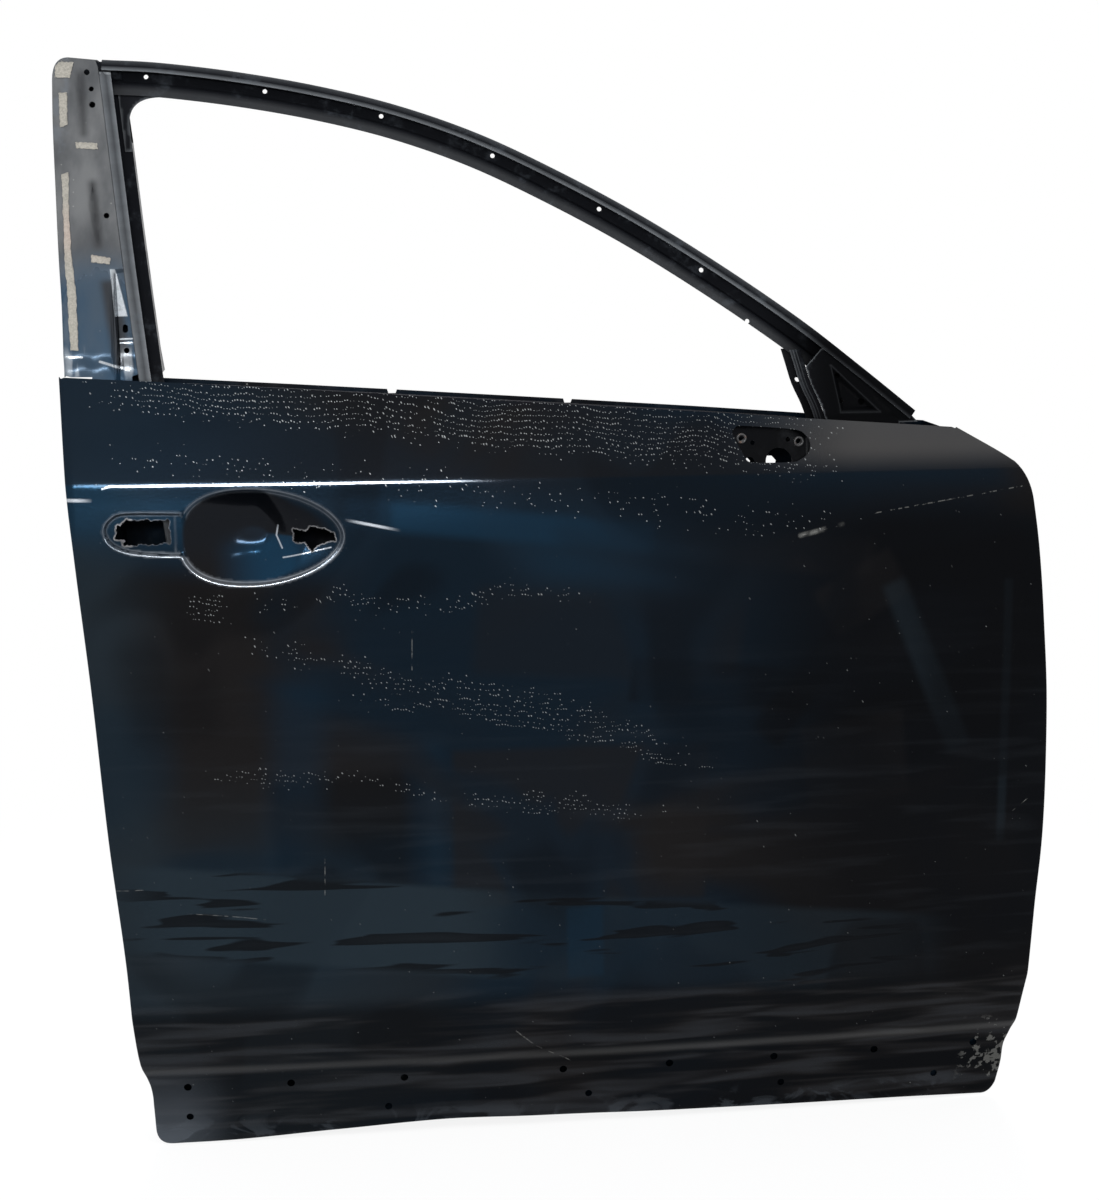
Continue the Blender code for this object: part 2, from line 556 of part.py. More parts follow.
def cut(body, prisms):
    """Take prisms out of a body with one exact Boolean."""
    points, faces = [], []
    for corners, sides in prisms:
        faces += [tuple(len(points) + i for i in side) for side in sides]
        points += [tuple(c) for c in corners]
    mesh = bpy.data.meshes.new(body.name + "_cutter")
    mesh.from_pydata(points, [], faces)
    bm = bmesh.new()
    bm.from_mesh(mesh)
    bmesh.ops.recalc_face_normals(bm, faces=bm.faces)
    bm.to_mesh(mesh)
    bm.free()
    cutter = bpy.data.objects.new(body.name + "_cutter", mesh)
    bpy.context.scene.collection.objects.link(cutter)
    cutter.hide_render = True
    cutter.display_type = "WIRE"
    taking = body.modifiers.new("holes", "BOOLEAN")
    taking.operation = "DIFFERENCE"
    taking.solver = "EXACT"
    taking.use_self = True
    taking.object = cutter


def ring_body(name, start, end, outer, bore, colour, sides=12, hexagon=False):
    """A tube, or a nut if its outside is a hexagon, between two points."""
    start, end = Vector(start), Vector(end)
    along = (end - start).normalized()
    across = along.orthogonal().normalized()
    upward = along.cross(across)
    points = []
    for centre in (start, end):
        for radius, cornered in ((outer, hexagon), (bore, False)):
            for k in range(sides):
                turn = 2 * math.pi * k / sides
                off = (turn + math.pi / 6) % (math.pi / 3) - math.pi / 6
                reach = radius / math.cos(off) * math.cos(math.pi / 6) if cornered else radius
                points.append(centre + (across * math.cos(turn) + upward * math.sin(turn)) * reach)
    faces = []
    for k in range(sides):
        n = (k + 1) % sides
        for a, b in ((0, 2), (3, 1), (1, 0), (2, 3)):
            faces.append((a * sides + k, a * sides + n, b * sides + n, b * sides + k))
    return closed_body(name, points, faces, colour)


# Form of the skin
FOOT_LINE = np.array(FOOT)
BODY_LINE = smooth(BODY, 0.02)
SHOULDER_LINE = smooth([(Z_LINE, 0.0), *SHOULDER], 0.02)
SECTION_LINE = np.vstack([FOOT_LINE[:-1], BODY_LINE, SHOULDER_LINE[1:]])


def skin_y(x, z):
    """Height of the plain skin: its section over z and its crown over x."""
    section = np.interp(z, SECTION_LINE[:, 0], SECTION_LINE[:, 1])
    return section + (np.asarray(x) - CROWN_X) ** 2 / (2 * CROWN_RADIUS) - SKIN_DEPTH


def offset(depth):
    """The height that lies a depth behind the plain skin."""
    return lambda x, z: skin_y(x, z) + depth


def scoop_ring(scale, sides=SCOOP_SIDES):
    """The scoop's outline shrunk to its centre: blunt at the lock, drawn out to the front."""
    turn = 2 * math.pi * np.arange(sides) / sides
    c, s = np.cos(turn), np.sin(turn)
    power = np.where(c > 0, 2 / 1.85, 2 / 2.5)
    reach = np.where(c > 0, SCOOP_FRONT, SCOOP_REAR)
    return np.stack([SCOOP_CENTRE[0] + scale * reach * np.sign(c) * np.abs(c) ** power,
                     SCOOP_CENTRE[1] + scale * SCOOP_HALF_HEIGHT * np.sign(s) * np.abs(s) ** power], 1)


def scoop_depth(x, z):
    """Depth of the scoop: full in its middle, shallow on the land at its front, nothing at its rim."""
    dx, dz = x - SCOOP_CENTRE[0], (z - SCOOP_CENTRE[1]) / SCOOP_HALF_HEIGHT
    power = np.where(dx > 0, 1.85, 2.5)
    reach = np.where(dx > 0, SCOOP_FRONT, SCOOP_REAR)
    ring = (np.abs(dx / reach) ** power + np.abs(dz) ** power) ** (1 / power)
    bowl = 0.5 + 0.5 * np.cos(math.pi * np.clip((ring - SCOOP_RINGS[-1]) / (1 - SCOOP_RINGS[-1]), 0, 1))
    land = np.clip((x - SCOOP_LAND_X[0]) / (SCOOP_LAND_X[1] - SCOOP_LAND_X[0]), 0, 1)
    land = land * land * (3 - 2 * land)
    return bowl * (SCOOP_DEPTH + (SCOOP_LAND_DEPTH - SCOOP_DEPTH) * land)


def drawn(x, z, loop, depth, ramp):
    """Depth of a field drawn into a sheet: nothing at its loop, full a ramp further in."""
    return depth * np.clip(depth_inside(x, z, loop) / ramp, 0, 1)


def dent_depth(x, z):
    """Depth of the dents: each one a smooth bowl that fades out before the inner panel's flange."""
    total = np.zeros_like(x)
    for cx, cz, half_x, half_z, depth in DENTS:
        total += depth * np.exp(-((x - cx) / half_x) ** 2 - ((z - cz) / half_z) ** 2)
    return total * ramp(depth_inside(x, z, OUTLINE), FLANGE_WIDTH, 2 * FLANGE_WIDTH)


def dent_lines():
    """Lines across each dent inside the hem, so that its bowl has points to follow."""
    out = []
    for cx, cz, half_x, half_z, _ in DENTS:
        for scale in (0.45, 1.0, DENT_REACH):
            ring = closed(circle(0, 0, scale, 8) * (half_x, half_z) + (cx, cz))
            inner = depth_inside(ring[:, 0], ring[:, 1], OUTLINE) > FLANGE_WIDTH
            out += [ring[i:i + 2] for i in range(len(ring) - 1) if inner[i] and inner[i + 1]]
    return out


def skin_outline():
    """The skin's outline and the number of its points before the belt."""
    rear = smooth(REAR_EDGE)
    foot = round_corner(REAR_EDGE[-1], REAR_FOOT, BOTTOM_EDGE[0])
    bottom = smooth(BOTTOM_EDGE)
    toe = round_corner(BOTTOM_EDGE[-1], FRONT_FOOT, FRONT_EDGE[0])
    front = smooth(FRONT_EDGE)
    top = round_corner(FRONT_EDGE[-1], FRONT_SHOULDER, CHAMFER_EDGE[0])
    chamfer = smooth(CHAMFER_EDGE)
    hemmed = split_at(np.vstack([rear, foot, bottom, toe, front, top, chamfer]), CREASES)
    belt = smooth(BELT_EDGE)[1:-1]
    return np.vstack([hemmed, belt]), len(hemmed)


OUTLINE, HEMMED = skin_outline()
BELT_LINE = smooth(BELT_EDGE)[::-1]


def belt_z(x):
    """Height of the belt edge at x."""
    return np.interp(x, BELT_LINE[:, 0], BELT_LINE[:, 1])


def level(z, left=-0.6, right=0.6):
    """A level line, as a crease."""
    x = np.linspace(left, right, max(2, round((right - left) / FIELD)))
    return np.stack([x, np.full_like(x, z)], 1)


def outer_panel():
    """The skin: creased and crowned, with scoop, pocket, holes and dents, hemmed round the inner panel."""
    pocket = np.array(POCKET)[::-1] if signed_area(POCKET) < 0 else np.array(POCKET)

    def height(x, z):
        return (skin_y(x, z) + scoop_depth(x, z) + drawn(x, z, pocket, POCKET_DEPTH, POCKET_RAMP)
                + dent_depth(x, z))

    clips = [circle(CLIP_ROW_START + d, CLIP_ROW_Z, CLIP_RADIUS, 8) for d in CLIP_ROW_PITCHES]
    clips += [circle(x, z, LOW_CLIP_RADIUS, 8) for x, z in LOW_CLIPS]
    holes = clips + [np.array(LOCK_OPENING), np.array(GRIP_OPENING), np.array(MIRROR_OPENING)]
    lines = [level(z) for z in CREASES] + [closed(scoop_ring(s)) for s in SCOOP_RINGS]
    lines += [closed(pocket), closed(inset(pocket, POCKET_RAMP)), follow_hem(FLANGE_WIDTH)[1:-1]] + dent_lines()
    lines += [level(0.25, -0.48, 0.54), level(0.36, -0.49, 0.54)]
    sheet = Sheet()
    sheet.draw(OUTLINE, height, holes, lines, FINE_FIELD)
    lip = np.vstack([OUTLINE[:HEMMED], inset(OUTLINE, HEM_WIDTH)[:HEMMED][::-1]])
    turned = Sheet()
    turned.draw(lip, lambda x, z: skin_y(x, z) + HEM_PITCH, (), [level(z) for z in CREASES], 1.0)
    sheet.add(turned.points, [f[::-1] for f in turned.faces])
    sheet.wall(closed(OUTLINE), height, lambda x, z: skin_y(x, z) + HEM_PITCH)
    return sheet.solid("outer_panel", NAVY)


def signed_area(loop):
    """Area of a closed loop, positive if it runs anticlockwise."""
    p = np.array(loop, float)
    q = np.roll(p, -1, 0)
    return 0.5 * float((p[:, 0] * q[:, 1] - q[:, 0] * p[:, 1]).sum())


def box_loop():
    """Foot of the inner panel's deep walls, closed far above the belt."""
    rear = smooth(BOX_EDGE[1:], FIELD)
    foot = round_corner(BOX_EDGE[-1], BOX_REAR_FOOT, BOX_FLOOR[0])
    floor = smooth(BOX_FLOOR, FIELD)
    toe = round_corner(BOX_FLOOR[-1], BOX_FRONT_FOOT, BOX_FRONT[0])
    front = smooth(BOX_FRONT, FIELD)
    top = round_corner(BOX_FRONT[-1], BOX_SHOULDER, BOX_CHAMFER[0])
    return np.vstack([[BOX_EDGE[0]], rear, foot, floor, toe, front, top, BOX_CHAMFER])


BOX = box_loop()
BOX_TOP = inset(BOX, BOX_DRAFT)
HEM_LINE = OUTLINE[:HEMMED]


def inner_field_y(x, z):
    """Height of the inner panel's broad face: flat, stepping outwards towards the belt."""
    below = belt_z(x) - z
    face = np.interp(below, [BELT_BAND, BELT_BAND + BELT_SLOPE], [BELT_Y, INNER_Y])
    module = rounded_box(*MODULE_OPENING[:2], MODULE_OPENING[2] + 2 * MODULE_RIM,
                         MODULE_OPENING[3] + 2 * MODULE_RIM, MODULE_OPENING[4] + MODULE_RIM)
    face = face - drawn(x, z, module, MODULE_STEP, PRESS_RAMP)
    speaker = circle(SPEAKER[0], SPEAKER[1], SPEAKER[2] + SPEAKER_RIM, 20)
    face = face + drawn(x, z, speaker, SPEAKER_RISE, PRESS_RAMP)
    for rib in RIBS:
        face = face - drawn(x, z, rounded_box(*rib), RIB_DEPTH, PRESS_RAMP)
    return face


def inner_y(x, z):
    """Height of the inner panel: flange on the skin, seal land, drafted walls and broad face."""
    edge = distance_to(x, z, HEM_LINE)
    land = ramp(edge, FLANGE_WIDTH + MIN_EDGE / 2, FLANGE_WIDTH + SEAL_WALL - MIN_EDGE / 2)
    flange = skin_y(x, z) + SHEET + HEM_CLEAR
    outer = flange + (SEAL_Y - flange) * land
    wall = np.clip(depth_inside(x, z, BOX) / BOX_DRAFT, 0, 1)
    return outer + (inner_field_y(x, z) - outer) * wall


def follow_hem(distance, step=0.04):
    """A line that runs inside the hem at a distance, drawn out past the belt at both ends."""
    line = inset(OUTLINE, distance)[:HEMMED]
    kept = [line[1]]
    for point in line[2:-1]:
        if np.linalg.norm(point - kept[-1]) > step * 0.6:
            kept.append(point)
    ends = []
    for last, before, reach in ((kept[0], kept[1], 0.05), (kept[-1], kept[-2], 0.12)):
        ends.append(last + (last - before) / np.linalg.norm(last - before) * reach)
    return np.array([ends[0], *kept, ends[1]])


def follow_belt(below, left, right):
    """A line that runs under the belt edge at a distance."""
    x = np.linspace(left, right, 12)
    return np.stack([x, belt_z(x) - below], 1)


def inner_outline():
    """Outline of the inner panel: inside the hem, then back along the notched belt."""
    gap = SHEET + HEM_CLEAR
    hem = inset(OUTLINE, gap)[:HEMMED]
    stops = [hem[-1][0] - 0.03, 0.30, 0.15]
    for left, right in BELT_NOTCHES[::-1]:
        stops += [right, left]
    stops += [-0.30, -0.42]
    belt = []
    for x in sorted(stops, reverse=True):
        belt.append((x, float(belt_z(x)) - gap))
    out = []
    for x, z in belt:
        out.append((x, z))
        for left, right in BELT_NOTCHES:
            if x == right:
                out.append((x - 0.0015, z - BELT_NOTCH_DEPTH))
                out.append((left + 0.0015, z - BELT_NOTCH_DEPTH))
    return np.vstack([hem, out])


def wall_frame(face, height):
    """Centre and directions on the hinge or latch face: outward, along the depth and upward."""
    if face == "hinge":
        foot = np.array([BOX_FRONT[0][0], BOX_FRONT[0][1]])
        head = np.array(BOX_FRONT[1])
        side = -1
    else:
        foot, head = np.array(BOX_EDGE[2]), np.array(BOX_EDGE[1])
        side = 1
    share = (height - foot[1]) / (head[1] - foot[1])
    base = foot + (head - foot) * share
    upward = Vector(((head - foot)[0], 0, (head - foot)[1])).normalized()
    inward = Vector((side * BOX_DRAFT, INNER_Y - SEAL_Y, 0)).normalized()
    middle_y = (INNER_Y + SEAL_Y) / 2
    middle = Vector((base[0] + side * BOX_DRAFT / 2, middle_y, height))
    outward = inward.cross(upward) * side
    if outward.x * side > 0:
        outward = -outward
    return middle, outward, inward, upward


def on_wall(face, height, depth_y, lift):
    """Point on a wall at a height and a depth y, a distance outside the sheet's cavity face."""
    middle, outward, inward, upward = wall_frame(face, height)
    return middle + inward * ((depth_y - middle.y) / inward.y) + outward * lift


def wall_hole(face, height, depth_y, profile, length=0.03):
    """A prism through a wall, with its profile in (depth, height)."""
    middle, outward, inward, upward = wall_frame(face, height)
    return prism(profile, on_wall(face, height, depth_y, 0), inward, upward, length)


def hinge_holes(length=0.03):
    """Prisms for the hinge bolts of both hinges."""
    out = []
    for height in HINGE_HEIGHTS.values():
        for side in (-1, 1):
            z = height + side * HINGE_BOLT_PITCH / 2
            out.append(wall_hole("hinge", z, HINGE_BOLT_Y, circle(0, 0, HINGE_BOLT_RADIUS, 8), length))
    return out


def check_holes(length=0.03):
    """Prisms for the check link's slot and its two bolts."""
    slot = rounded_box(0, 0, *CHECK_SLOT, SLOT_CORNER, 3)
    out = [wall_hole("hinge", CHECK_HEIGHT, HINGE_BOLT_Y, slot, length)]
    for side in (-1, 1):
        z = CHECK_HEIGHT + side * CHECK_BOLT_PITCH / 2
        out.append(wall_hole("hinge", z, HINGE_BOLT_Y, circle(0, 0, CHECK_BOLT_RADIUS, 8), length))
    return out


def latch_holes(length=0.03):
    """Prisms for the latch's mouth and its three screws."""
    mouth = rounded_box(0, 0, *LATCH_SLOT, SLOT_CORNER, 3)
    out = [wall_hole("latch", LATCH_HEIGHT, 0.0, mouth, length)]
    for depth, rise in LATCH_SCREWS:
        out.append(wall_hole("latch", LATCH_HEIGHT + rise, depth, circle(0, 0, LATCH_SCREW_RADIUS, 8), length))
    return out


def inner_panel():
    """The inner panel: one deep drawn pressing with its openings, ribs and the holes in its walls."""
    module = rounded_box(*MODULE_OPENING)
    holes = [module, rounded_box(*FRONT_ACCESS), rounded_box(*REAR_ACCESS, 3), circle(*SPEAKER, 20)]
    holes += [circle(x, z, r, 8) for x, z, r in MIRROR_SIGHT_HOLES]
    holes += [circle(x, z, TRIM_HOLE_RADIUS, 6) for x, z in TRIM_HOLES]
    rim = rounded_box(*MODULE_OPENING[:2], MODULE_OPENING[2] + 2 * MODULE_RIM,
                      MODULE_OPENING[3] + 2 * MODULE_RIM, MODULE_OPENING[4] + MODULE_RIM)
    speaker = circle(SPEAKER[0], SPEAKER[1], SPEAKER[2] + SPEAKER_RIM, 20)
    fields = [rim, speaker] + [rounded_box(*rib, 3) for rib in RIBS]
    lines = [follow_hem(FLANGE_WIDTH), follow_hem(FLANGE_WIDTH + SEAL_WALL), closed(BOX), closed(BOX_TOP)]
    for loop in fields:
        lines += [closed(loop), closed(inset(loop, PRESS_RAMP))]
    for z in CREASES:
        lines += [level(z, -0.6, -0.47), level(z, 0.495, 0.6)]
    lines += [follow_belt(BELT_BAND, -0.52, 0.40), follow_belt(BELT_BAND + BELT_SLOPE, -0.52, 0.46)]
    sheet = Sheet()
    sheet.draw(inner_outline(), inner_y, holes, lines, INNER_FIELD)
    body = sheet.solid("inner_panel", NAVY)
    grommet = wall_hole("hinge", GROMMET_HEIGHT, HINGE_BOLT_Y, circle(0, 0, GROMMET_RADIUS, 12))
    cut(body, hinge_holes() + check_holes() + latch_holes() + [grommet])
    return body


def carried(line, section, flat=False, base=skin_y):
    """Rails of a section along a line of (x, z): across it (or along x if flat) and inwards from the skin."""
    line = np.array(line)
    along = np.gradient(line, axis=0)
    along /= np.linalg.norm(along, axis=1)[:, None]
    across = np.tile([1.0, 0.0], (len(line), 1)) if flat else np.stack([along[:, 1], -along[:, 0]], 1)
    rails = []
    for reach, depth in section:
        at = line + across * reach
        rails.append(np.stack([at[:, 0], base(at[:, 0], at[:, 1]) + depth, at[:, 1]], 1))
    return rails


def at_length(line, length):
    """Point of a line at a length from its start, and its direction there."""
    steps = np.linalg.norm(np.diff(line, axis=0), axis=1)
    run = np.concatenate([[0.0], np.cumsum(steps)])
    k = min(int(np.searchsorted(run, length, side="right")) - 1, len(steps) - 1)
    along = (line[k + 1] - line[k]) / steps[k]
    return line[k] + along * (length - run[k]), along


HEADER_LINE = smooth(HEADER_EDGE, STEP * 1.25)


def header_holes(radius, edge_radius):
    """Prisms through the header: its row of holes and the one near the window's edge."""
    out = []
    for k in range(HEADER_HOLE_COUNT):
        point, along = at_length(HEADER_LINE, HEADER_HOLE_START + k * HEADER_HOLE_PITCH)
        x, z = point + np.array([along[1], -along[0]]) * HEADER_HOLE_ACROSS
        out.append(hole_through(x, z, radius))
    out.append(hole_through(*HEADER_EDGE_HOLE, edge_radius))
    return out


def hole_through(x, z, radius, sides=8):
    """A long round prism along Y."""
    return prism(circle(0, 0, radius, sides), (x, 0, z), (1, 0, 0), (0, 0, 1), 0.5)


def header_rail_outer():
    """The header's outer rail: lip, run channel and window flange as one section."""
    sheet = Sheet()
    sheet.loft(carried(HEADER_LINE, HEADER_SECTION))
    body = sheet.solid("header_rail_outer", PRIMER)
    cut(body, header_holes(HEADER_HOLE_RADIUS, HEADER_HOLE_RADIUS))
    return body


def header_rail_inner():
    """The header's inner rail, which closes the channel to a box."""
    sheet = Sheet()
    sheet.loft(carried(HEADER_LINE, HEADER_BOX))
    body = sheet.solid("header_rail_inner", NAVY)
    cut(body, header_holes(HEADER_ACCESS_RADIUS, HEADER_HOLE_RADIUS))
    return body


def ramp(value, low, high):
    """Nothing below low, one above high, straight between."""
    return np.clip((value - low) / (high - low), 0, 1)


def pillar_y(x, z):
    """Height of the pillar plate: on the skin's surface, behind the skin at its foot, with drawn fields."""
    depth = PILLAR_JOGGLE * (1 - ramp(z, *PILLAR_JOGGLE_Z))
    for spindle in PILLAR_SPINDLES:
        depth = depth + drawn(x, z, ccw(spindle), SPINDLE_DEPTH, SPINDLE_DEPTH)
    depth = depth + drawn(x, z, ccw(PILLAR_RECESS), PILLAR_RECESS_DEPTH, PILLAR_RECESS_DEPTH)
    return skin_y(x, z) + depth


def ccw(loop):
    """The loop as an array that runs anticlockwise."""
    loop = np.array(loop, float)
    return loop if signed_area(loop) > 0 else loop[::-1]


def pillar_edge():
    """Rear and top edge of the pillar plate, from its foot up and forward."""
    rear = smooth(PILLAR_REAR, FIELD)
    top = round_corner(PILLAR_REAR[-1], PILLAR_TOP_CORNER, PILLAR_TOP[0])
    return np.vstack([rear, top, PILLAR_TOP])


def pillar_panel():
    """The plate over the door's rear pillar, with its flange turned inwards."""
    edge = split_at(pillar_edge(), PILLAR_JOGGLE_Z)
    left, right, foot = PILLAR_TAB
    base_z = PILLAR_REAR[0][1]
    tab = [(left, base_z), (left, foot), (right, foot), (right, base_z)]
    outline = np.vstack([edge[::-1], tab, [PILLAR_FRONT[1]]])
    lines = [level(z, -0.56, -0.44) for z in PILLAR_JOGGLE_Z]
    for loop in (*PILLAR_SPINDLES, PILLAR_RECESS):
        loop = ccw(loop)
        depth = PILLAR_RECESS_DEPTH if loop is PILLAR_RECESS else SPINDLE_DEPTH
        lines += [closed(loop), closed(inset(loop, depth))]
    holes = [circle(x, z, r, 8) for x, z, r in PILLAR_HOLES]
    sheet = Sheet()
    sheet.draw(outline, pillar_y, holes, lines, FINE_FIELD)
    sheet.wall(edge, pillar_y, lambda x, z: skin_y(x, z) + PILLAR_FLANGE)
    return sheet.solid("pillar_panel", PRIMER)


def run_front_x(z):
    """The line between the pillar plate and the rear run channel."""
    (x0, z0), (x1, z1) = PILLAR_FRONT
    return x0 + (x1 - x0) * (z0 - z) / (z0 - z1)


def pillar_inner():
    """The pillar's inner pressing: flat back, a wall behind the plate's flange and one at the window."""
    count = len(pillar_edge())
    right = PILLAR_INNER_TAB[1]
    loop = np.vstack([pillar_edge()[::-1], [(right, PILLAR_REAR[0][1]), (right, PILLAR_TOP[-1][1])]])
    edge = inset(loop, 2 * SHEET + HEM_CLEAR)
    reach = REAR_RUN_SECTION[-1][0] - SHEET - CLEAR
    tab_left, tab_right, tab_foot = PILLAR_INNER_TAB
    base = PILLAR_INNER_BASE
    edge = edge[1:count - 1][::-1]
    edge = split_at(np.vstack([[(edge[0][0], base)], edge]), PILLAR_INNER_RISE)
    front = np.array([(run_front_x(z) + reach, z) for z in (base, *PILLAR_INNER_FRONT)])
    front = split_at(front, PILLAR_INNER_RISE)
    step_x, step_z = PILLAR_INNER_STEP
    outline = np.vstack([edge[::-1], [(tab_left, base), (tab_left, tab_foot), (tab_right, tab_foot),
                                      (tab_right, base)], front,
                         [(run_front_x(step_z) + reach, step_z), (step_x, step_z), (step_x, edge[-1][1])]])

    def height(x, z):
        frame = skin_y(x, z) + FRAME_DEPTH
        tab = BELT_Y - CLEAR - SHEET
        return tab + (frame - tab) * ramp(z, *PILLAR_INNER_RISE)

    sheet = Sheet()
    sheet.draw(outline, height, (), [level(z, -0.56, -0.43) for z in PILLAR_INNER_RISE], FIELD)
    sheet.wall(edge, height, offset(PILLAR_FLANGE / 2))
    sheet.wall(front, height, offset(REAR_RUN_SECTION[-1][1] + RUN_GAP))
    return sheet.solid("pillar_inner", NAVY)


def run_y(level_z):
    """Height that follows the skin above a level and stands upright below it."""
    return lambda x, z: skin_y(x, np.maximum(z, level_z))


def rear_run_line():
    """Points of the rear run, with one at each level where its form changes."""
    return split_at(smooth(REAR_RUN_LINE, FIELD), [RUN_LEVEL_Z, *PILLAR_JOGGLE_Z])


def rear_run_channel():
    """The glass run at the pillar, from the header down into the door."""
    upright = run_y(RUN_LEVEL_Z)

    def lip_y(x, z):
        return upright(x, z) + PILLAR_JOGGLE * (1 - ramp(z, *PILLAR_JOGGLE_Z))

    sheet = Sheet()
    line = rear_run_line()
    lip = carried(line, REAR_RUN_SECTION[:2], True, lip_y)
    sheet.loft(lip + carried(line, REAR_RUN_SECTION[2:], True, upright))
    return sheet.solid("rear_run_channel", PRIMER)


def front_run_channel():
    """The glass run in front of the window, beaded on its lip."""
    sheet = Sheet()
    sheet.loft(carried(smooth(FRONT_RUN_LINE, FINE_FIELD), FRONT_RUN_SECTION, True, run_y(FRONT_RUN_LEVEL_Z)))
    body = sheet.solid("front_run_channel", NAVY)
    return body


def run_bracket(name, sizes, section, base):
    """A strip bent twice that ties a run channel's foot to the inner panel."""
    start, bend, end, low, high = sizes
    lip = section[-1][1] + CLEAR
    seat = INNER_Y - CLEAR - HEAVY
    rails = []
    for x, near in ((start, True), (bend, True), (bend, False), (end, False)):
        rail = []
        for z in (low, high):
            y = float(base(np.array([x]), np.array([z]))[0]) + lip if near else seat
            rail.append((x, y, z))
        rails.append(np.array(rail))
    sheet = Sheet()
    sheet.loft(rails)
    return sheet.solid(name, BLACK_STEEL, HEAVY)


def corner_gusset():
    """The web that rounds the window's upper rear corner."""
    reach = REAR_RUN_SECTION[-1][0]
    arc_z = GUSSET_TOP[0][1] - GUSSET_RADIUS
    start = (run_front_x(arc_z) + reach, arc_z)
    sharp = (run_front_x(GUSSET_TOP[0][1]) + reach, GUSSET_TOP[0][1])
    edge = [(run_front_x(GUSSET_FOOT_Z) + reach - CLEAR, GUSSET_FOOT_Z), start]
    arc = round_corner(start, sharp, GUSSET_TOP[0], 8)
    top_z = GUSSET_TOP[-1][1]
    lap = [(run_front_x(top_z) + reach - GUSSET_LAP, top_z),
           (run_front_x(GUSSET_FOOT_Z) + reach - GUSSET_LAP, GUSSET_FOOT_Z)]
    outline = split_at(closed(np.vstack([edge, arc, GUSSET_TOP, lap])), rear_run_line()[:, 1])[:-1]
    sheet = Sheet()
    sheet.draw(outline, offset(GUSSET_DEPTH), (), (), FINE_FIELD)
    return sheet.solid("corner_gusset", BLACK_STEEL)


def mirror_corner_panel():
    """The triangular pressing in the window's front corner."""
    channel = [(x + SHEET, z) for x, z in smooth(FRONT_RUN_LINE, FINE_FIELD) if z > CORNER_PANEL_FOOT_Z]
    foot = (channel[-1][0] + SHEET, CORNER_PANEL_FOOT_Z)
    outline = np.vstack([channel, [foot], CORNER_PANEL])
    recess = ccw(CORNER_RECESS)

    def height(x, z):
        joggle = CORNER_JOGGLE * (1 - ramp(z, *CORNER_JOGGLE_Z))
        return (skin_y(x, z) + CORNER_PANEL_DEPTH + joggle
                + drawn(x, z, recess, CORNER_RECESS_DEPTH, CORNER_RECESS_DEPTH))

    lines = [level(z, 0.25, 0.42) for z in CORNER_JOGGLE_Z]
    lines += [closed(recess), closed(inset(recess, CORNER_RECESS_DEPTH))]
    sheet = Sheet()
    sheet.draw(outline, height, [circle(x, z, r, 8) for x, z, r in CORNER_HOLES], lines, FINE_FIELD)
    return sheet.solid("mirror_corner_panel", NAVY)


def front_sash_foot():
    """The plate that ties the header's front end to the inner panel."""
    seat = BELT_Y - CLEAR - SHEET

    def height(x, z):
        frame = skin_y(x, z) + FRAME_DEPTH + SHEET + CLEAR
        return seat + (frame - seat) * ramp(z, *FOOT_JOGGLE_Z)

    sheet = Sheet()
    sheet.draw(np.array(FOOT_PLATE), height, (), [level(z, 0.28, 0.38) for z in FOOT_JOGGLE_Z], FINE_FIELD)
    return sheet.solid("front_sash_foot", BLACK_STEEL)


def belt_reinforcement_outer():
    """The hat section behind the skin's belt edge."""
    x = np.linspace(*OUTER_BELT_SPAN, 13)
    rails = [np.stack([x, skin_y(x, belt_z(x) + dz) + depth, belt_z(x) + dz], 1)
             for dz, depth in OUTER_BELT_SECTION]
    sheet = Sheet()
    sheet.loft(rails)
    return sheet.solid("belt_reinforcement_outer", BLACK_STEEL)


def belt_reinforcement_inner():
    """The beaded strip that stiffens the inner panel's belt band."""
    x = np.linspace(*INNER_BELT_SPAN, 13)
    seat = BELT_Y - CLEAR - SHEET
    rails = [np.stack([x, np.full_like(x, seat + dy), belt_z(x) + dz], 1) for dz, dy in INNER_BELT_SECTION]
    sheet = Sheet()
    sheet.loft(rails)
    return sheet.solid("belt_reinforcement_inner", BLACK_STEEL)


BRACKET_SEAT = SEAL_Y - CLEAR - HEAVY
BEAM_Y = BRACKET_SEAT - CLEAR - BEAM_RADIUS


def impact_beam():
    """The tube against side impacts, between its brackets."""
    ends = [(x, BEAM_Y, z) for x, z in (BEAM_REAR, BEAM_FRONT)]
    return ring_body("impact_beam", *ends, BEAM_RADIUS, BEAM_RADIUS - BEAM_WALL, BLACK_STEEL, 16)


def beam_bracket(name, outline, folds):
    """A flat end bracket of the beam with its long edges folded outwards."""
    outline = ccw(outline)
    sheet = Sheet()
    flat = np.array(outline)
    sheet.draw(flat, lambda x, z: np.full_like(x, BRACKET_SEAT), (), (), INNER_FIELD)
    for fold in folds:
        line = np.array(fold)
        sheet.wall(line, lambda x, z: np.full_like(x, BRACKET_SEAT),
                   lambda x, z: np.full_like(x, BRACKET_SEAT - BRACKET_FOLD))
    return sheet.solid(name, BLACK_STEEL, HEAVY)


def beam_y_line(x):
    """Height of the beam's axis over x."""
    return BEAM_REAR[1] + (BEAM_FRONT[1] - BEAM_REAR[1]) * (x - BEAM_REAR[0]) / (BEAM_FRONT[0] - BEAM_REAR[0])


def mastic_pads():
    """Pads of mastic that carry the skin on the beam."""
    width, height = MASTIC_SIZE
    for number, share in enumerate(MASTIC_PLACES, 1):
        x = BEAM_REAR[0] + share * (BEAM_FRONT[0] - BEAM_REAR[0])
        outline = rounded_box(x, beam_y_line(x), width, height, height / 3, 3)
        near = offset(SHEET + CLEAR)
        slab(f"mastic_pad_{number}", outline, near, lambda x, z: np.full_like(x, BEAM_Y - BEAM_RADIUS - CLEAR),
             MASTIC)


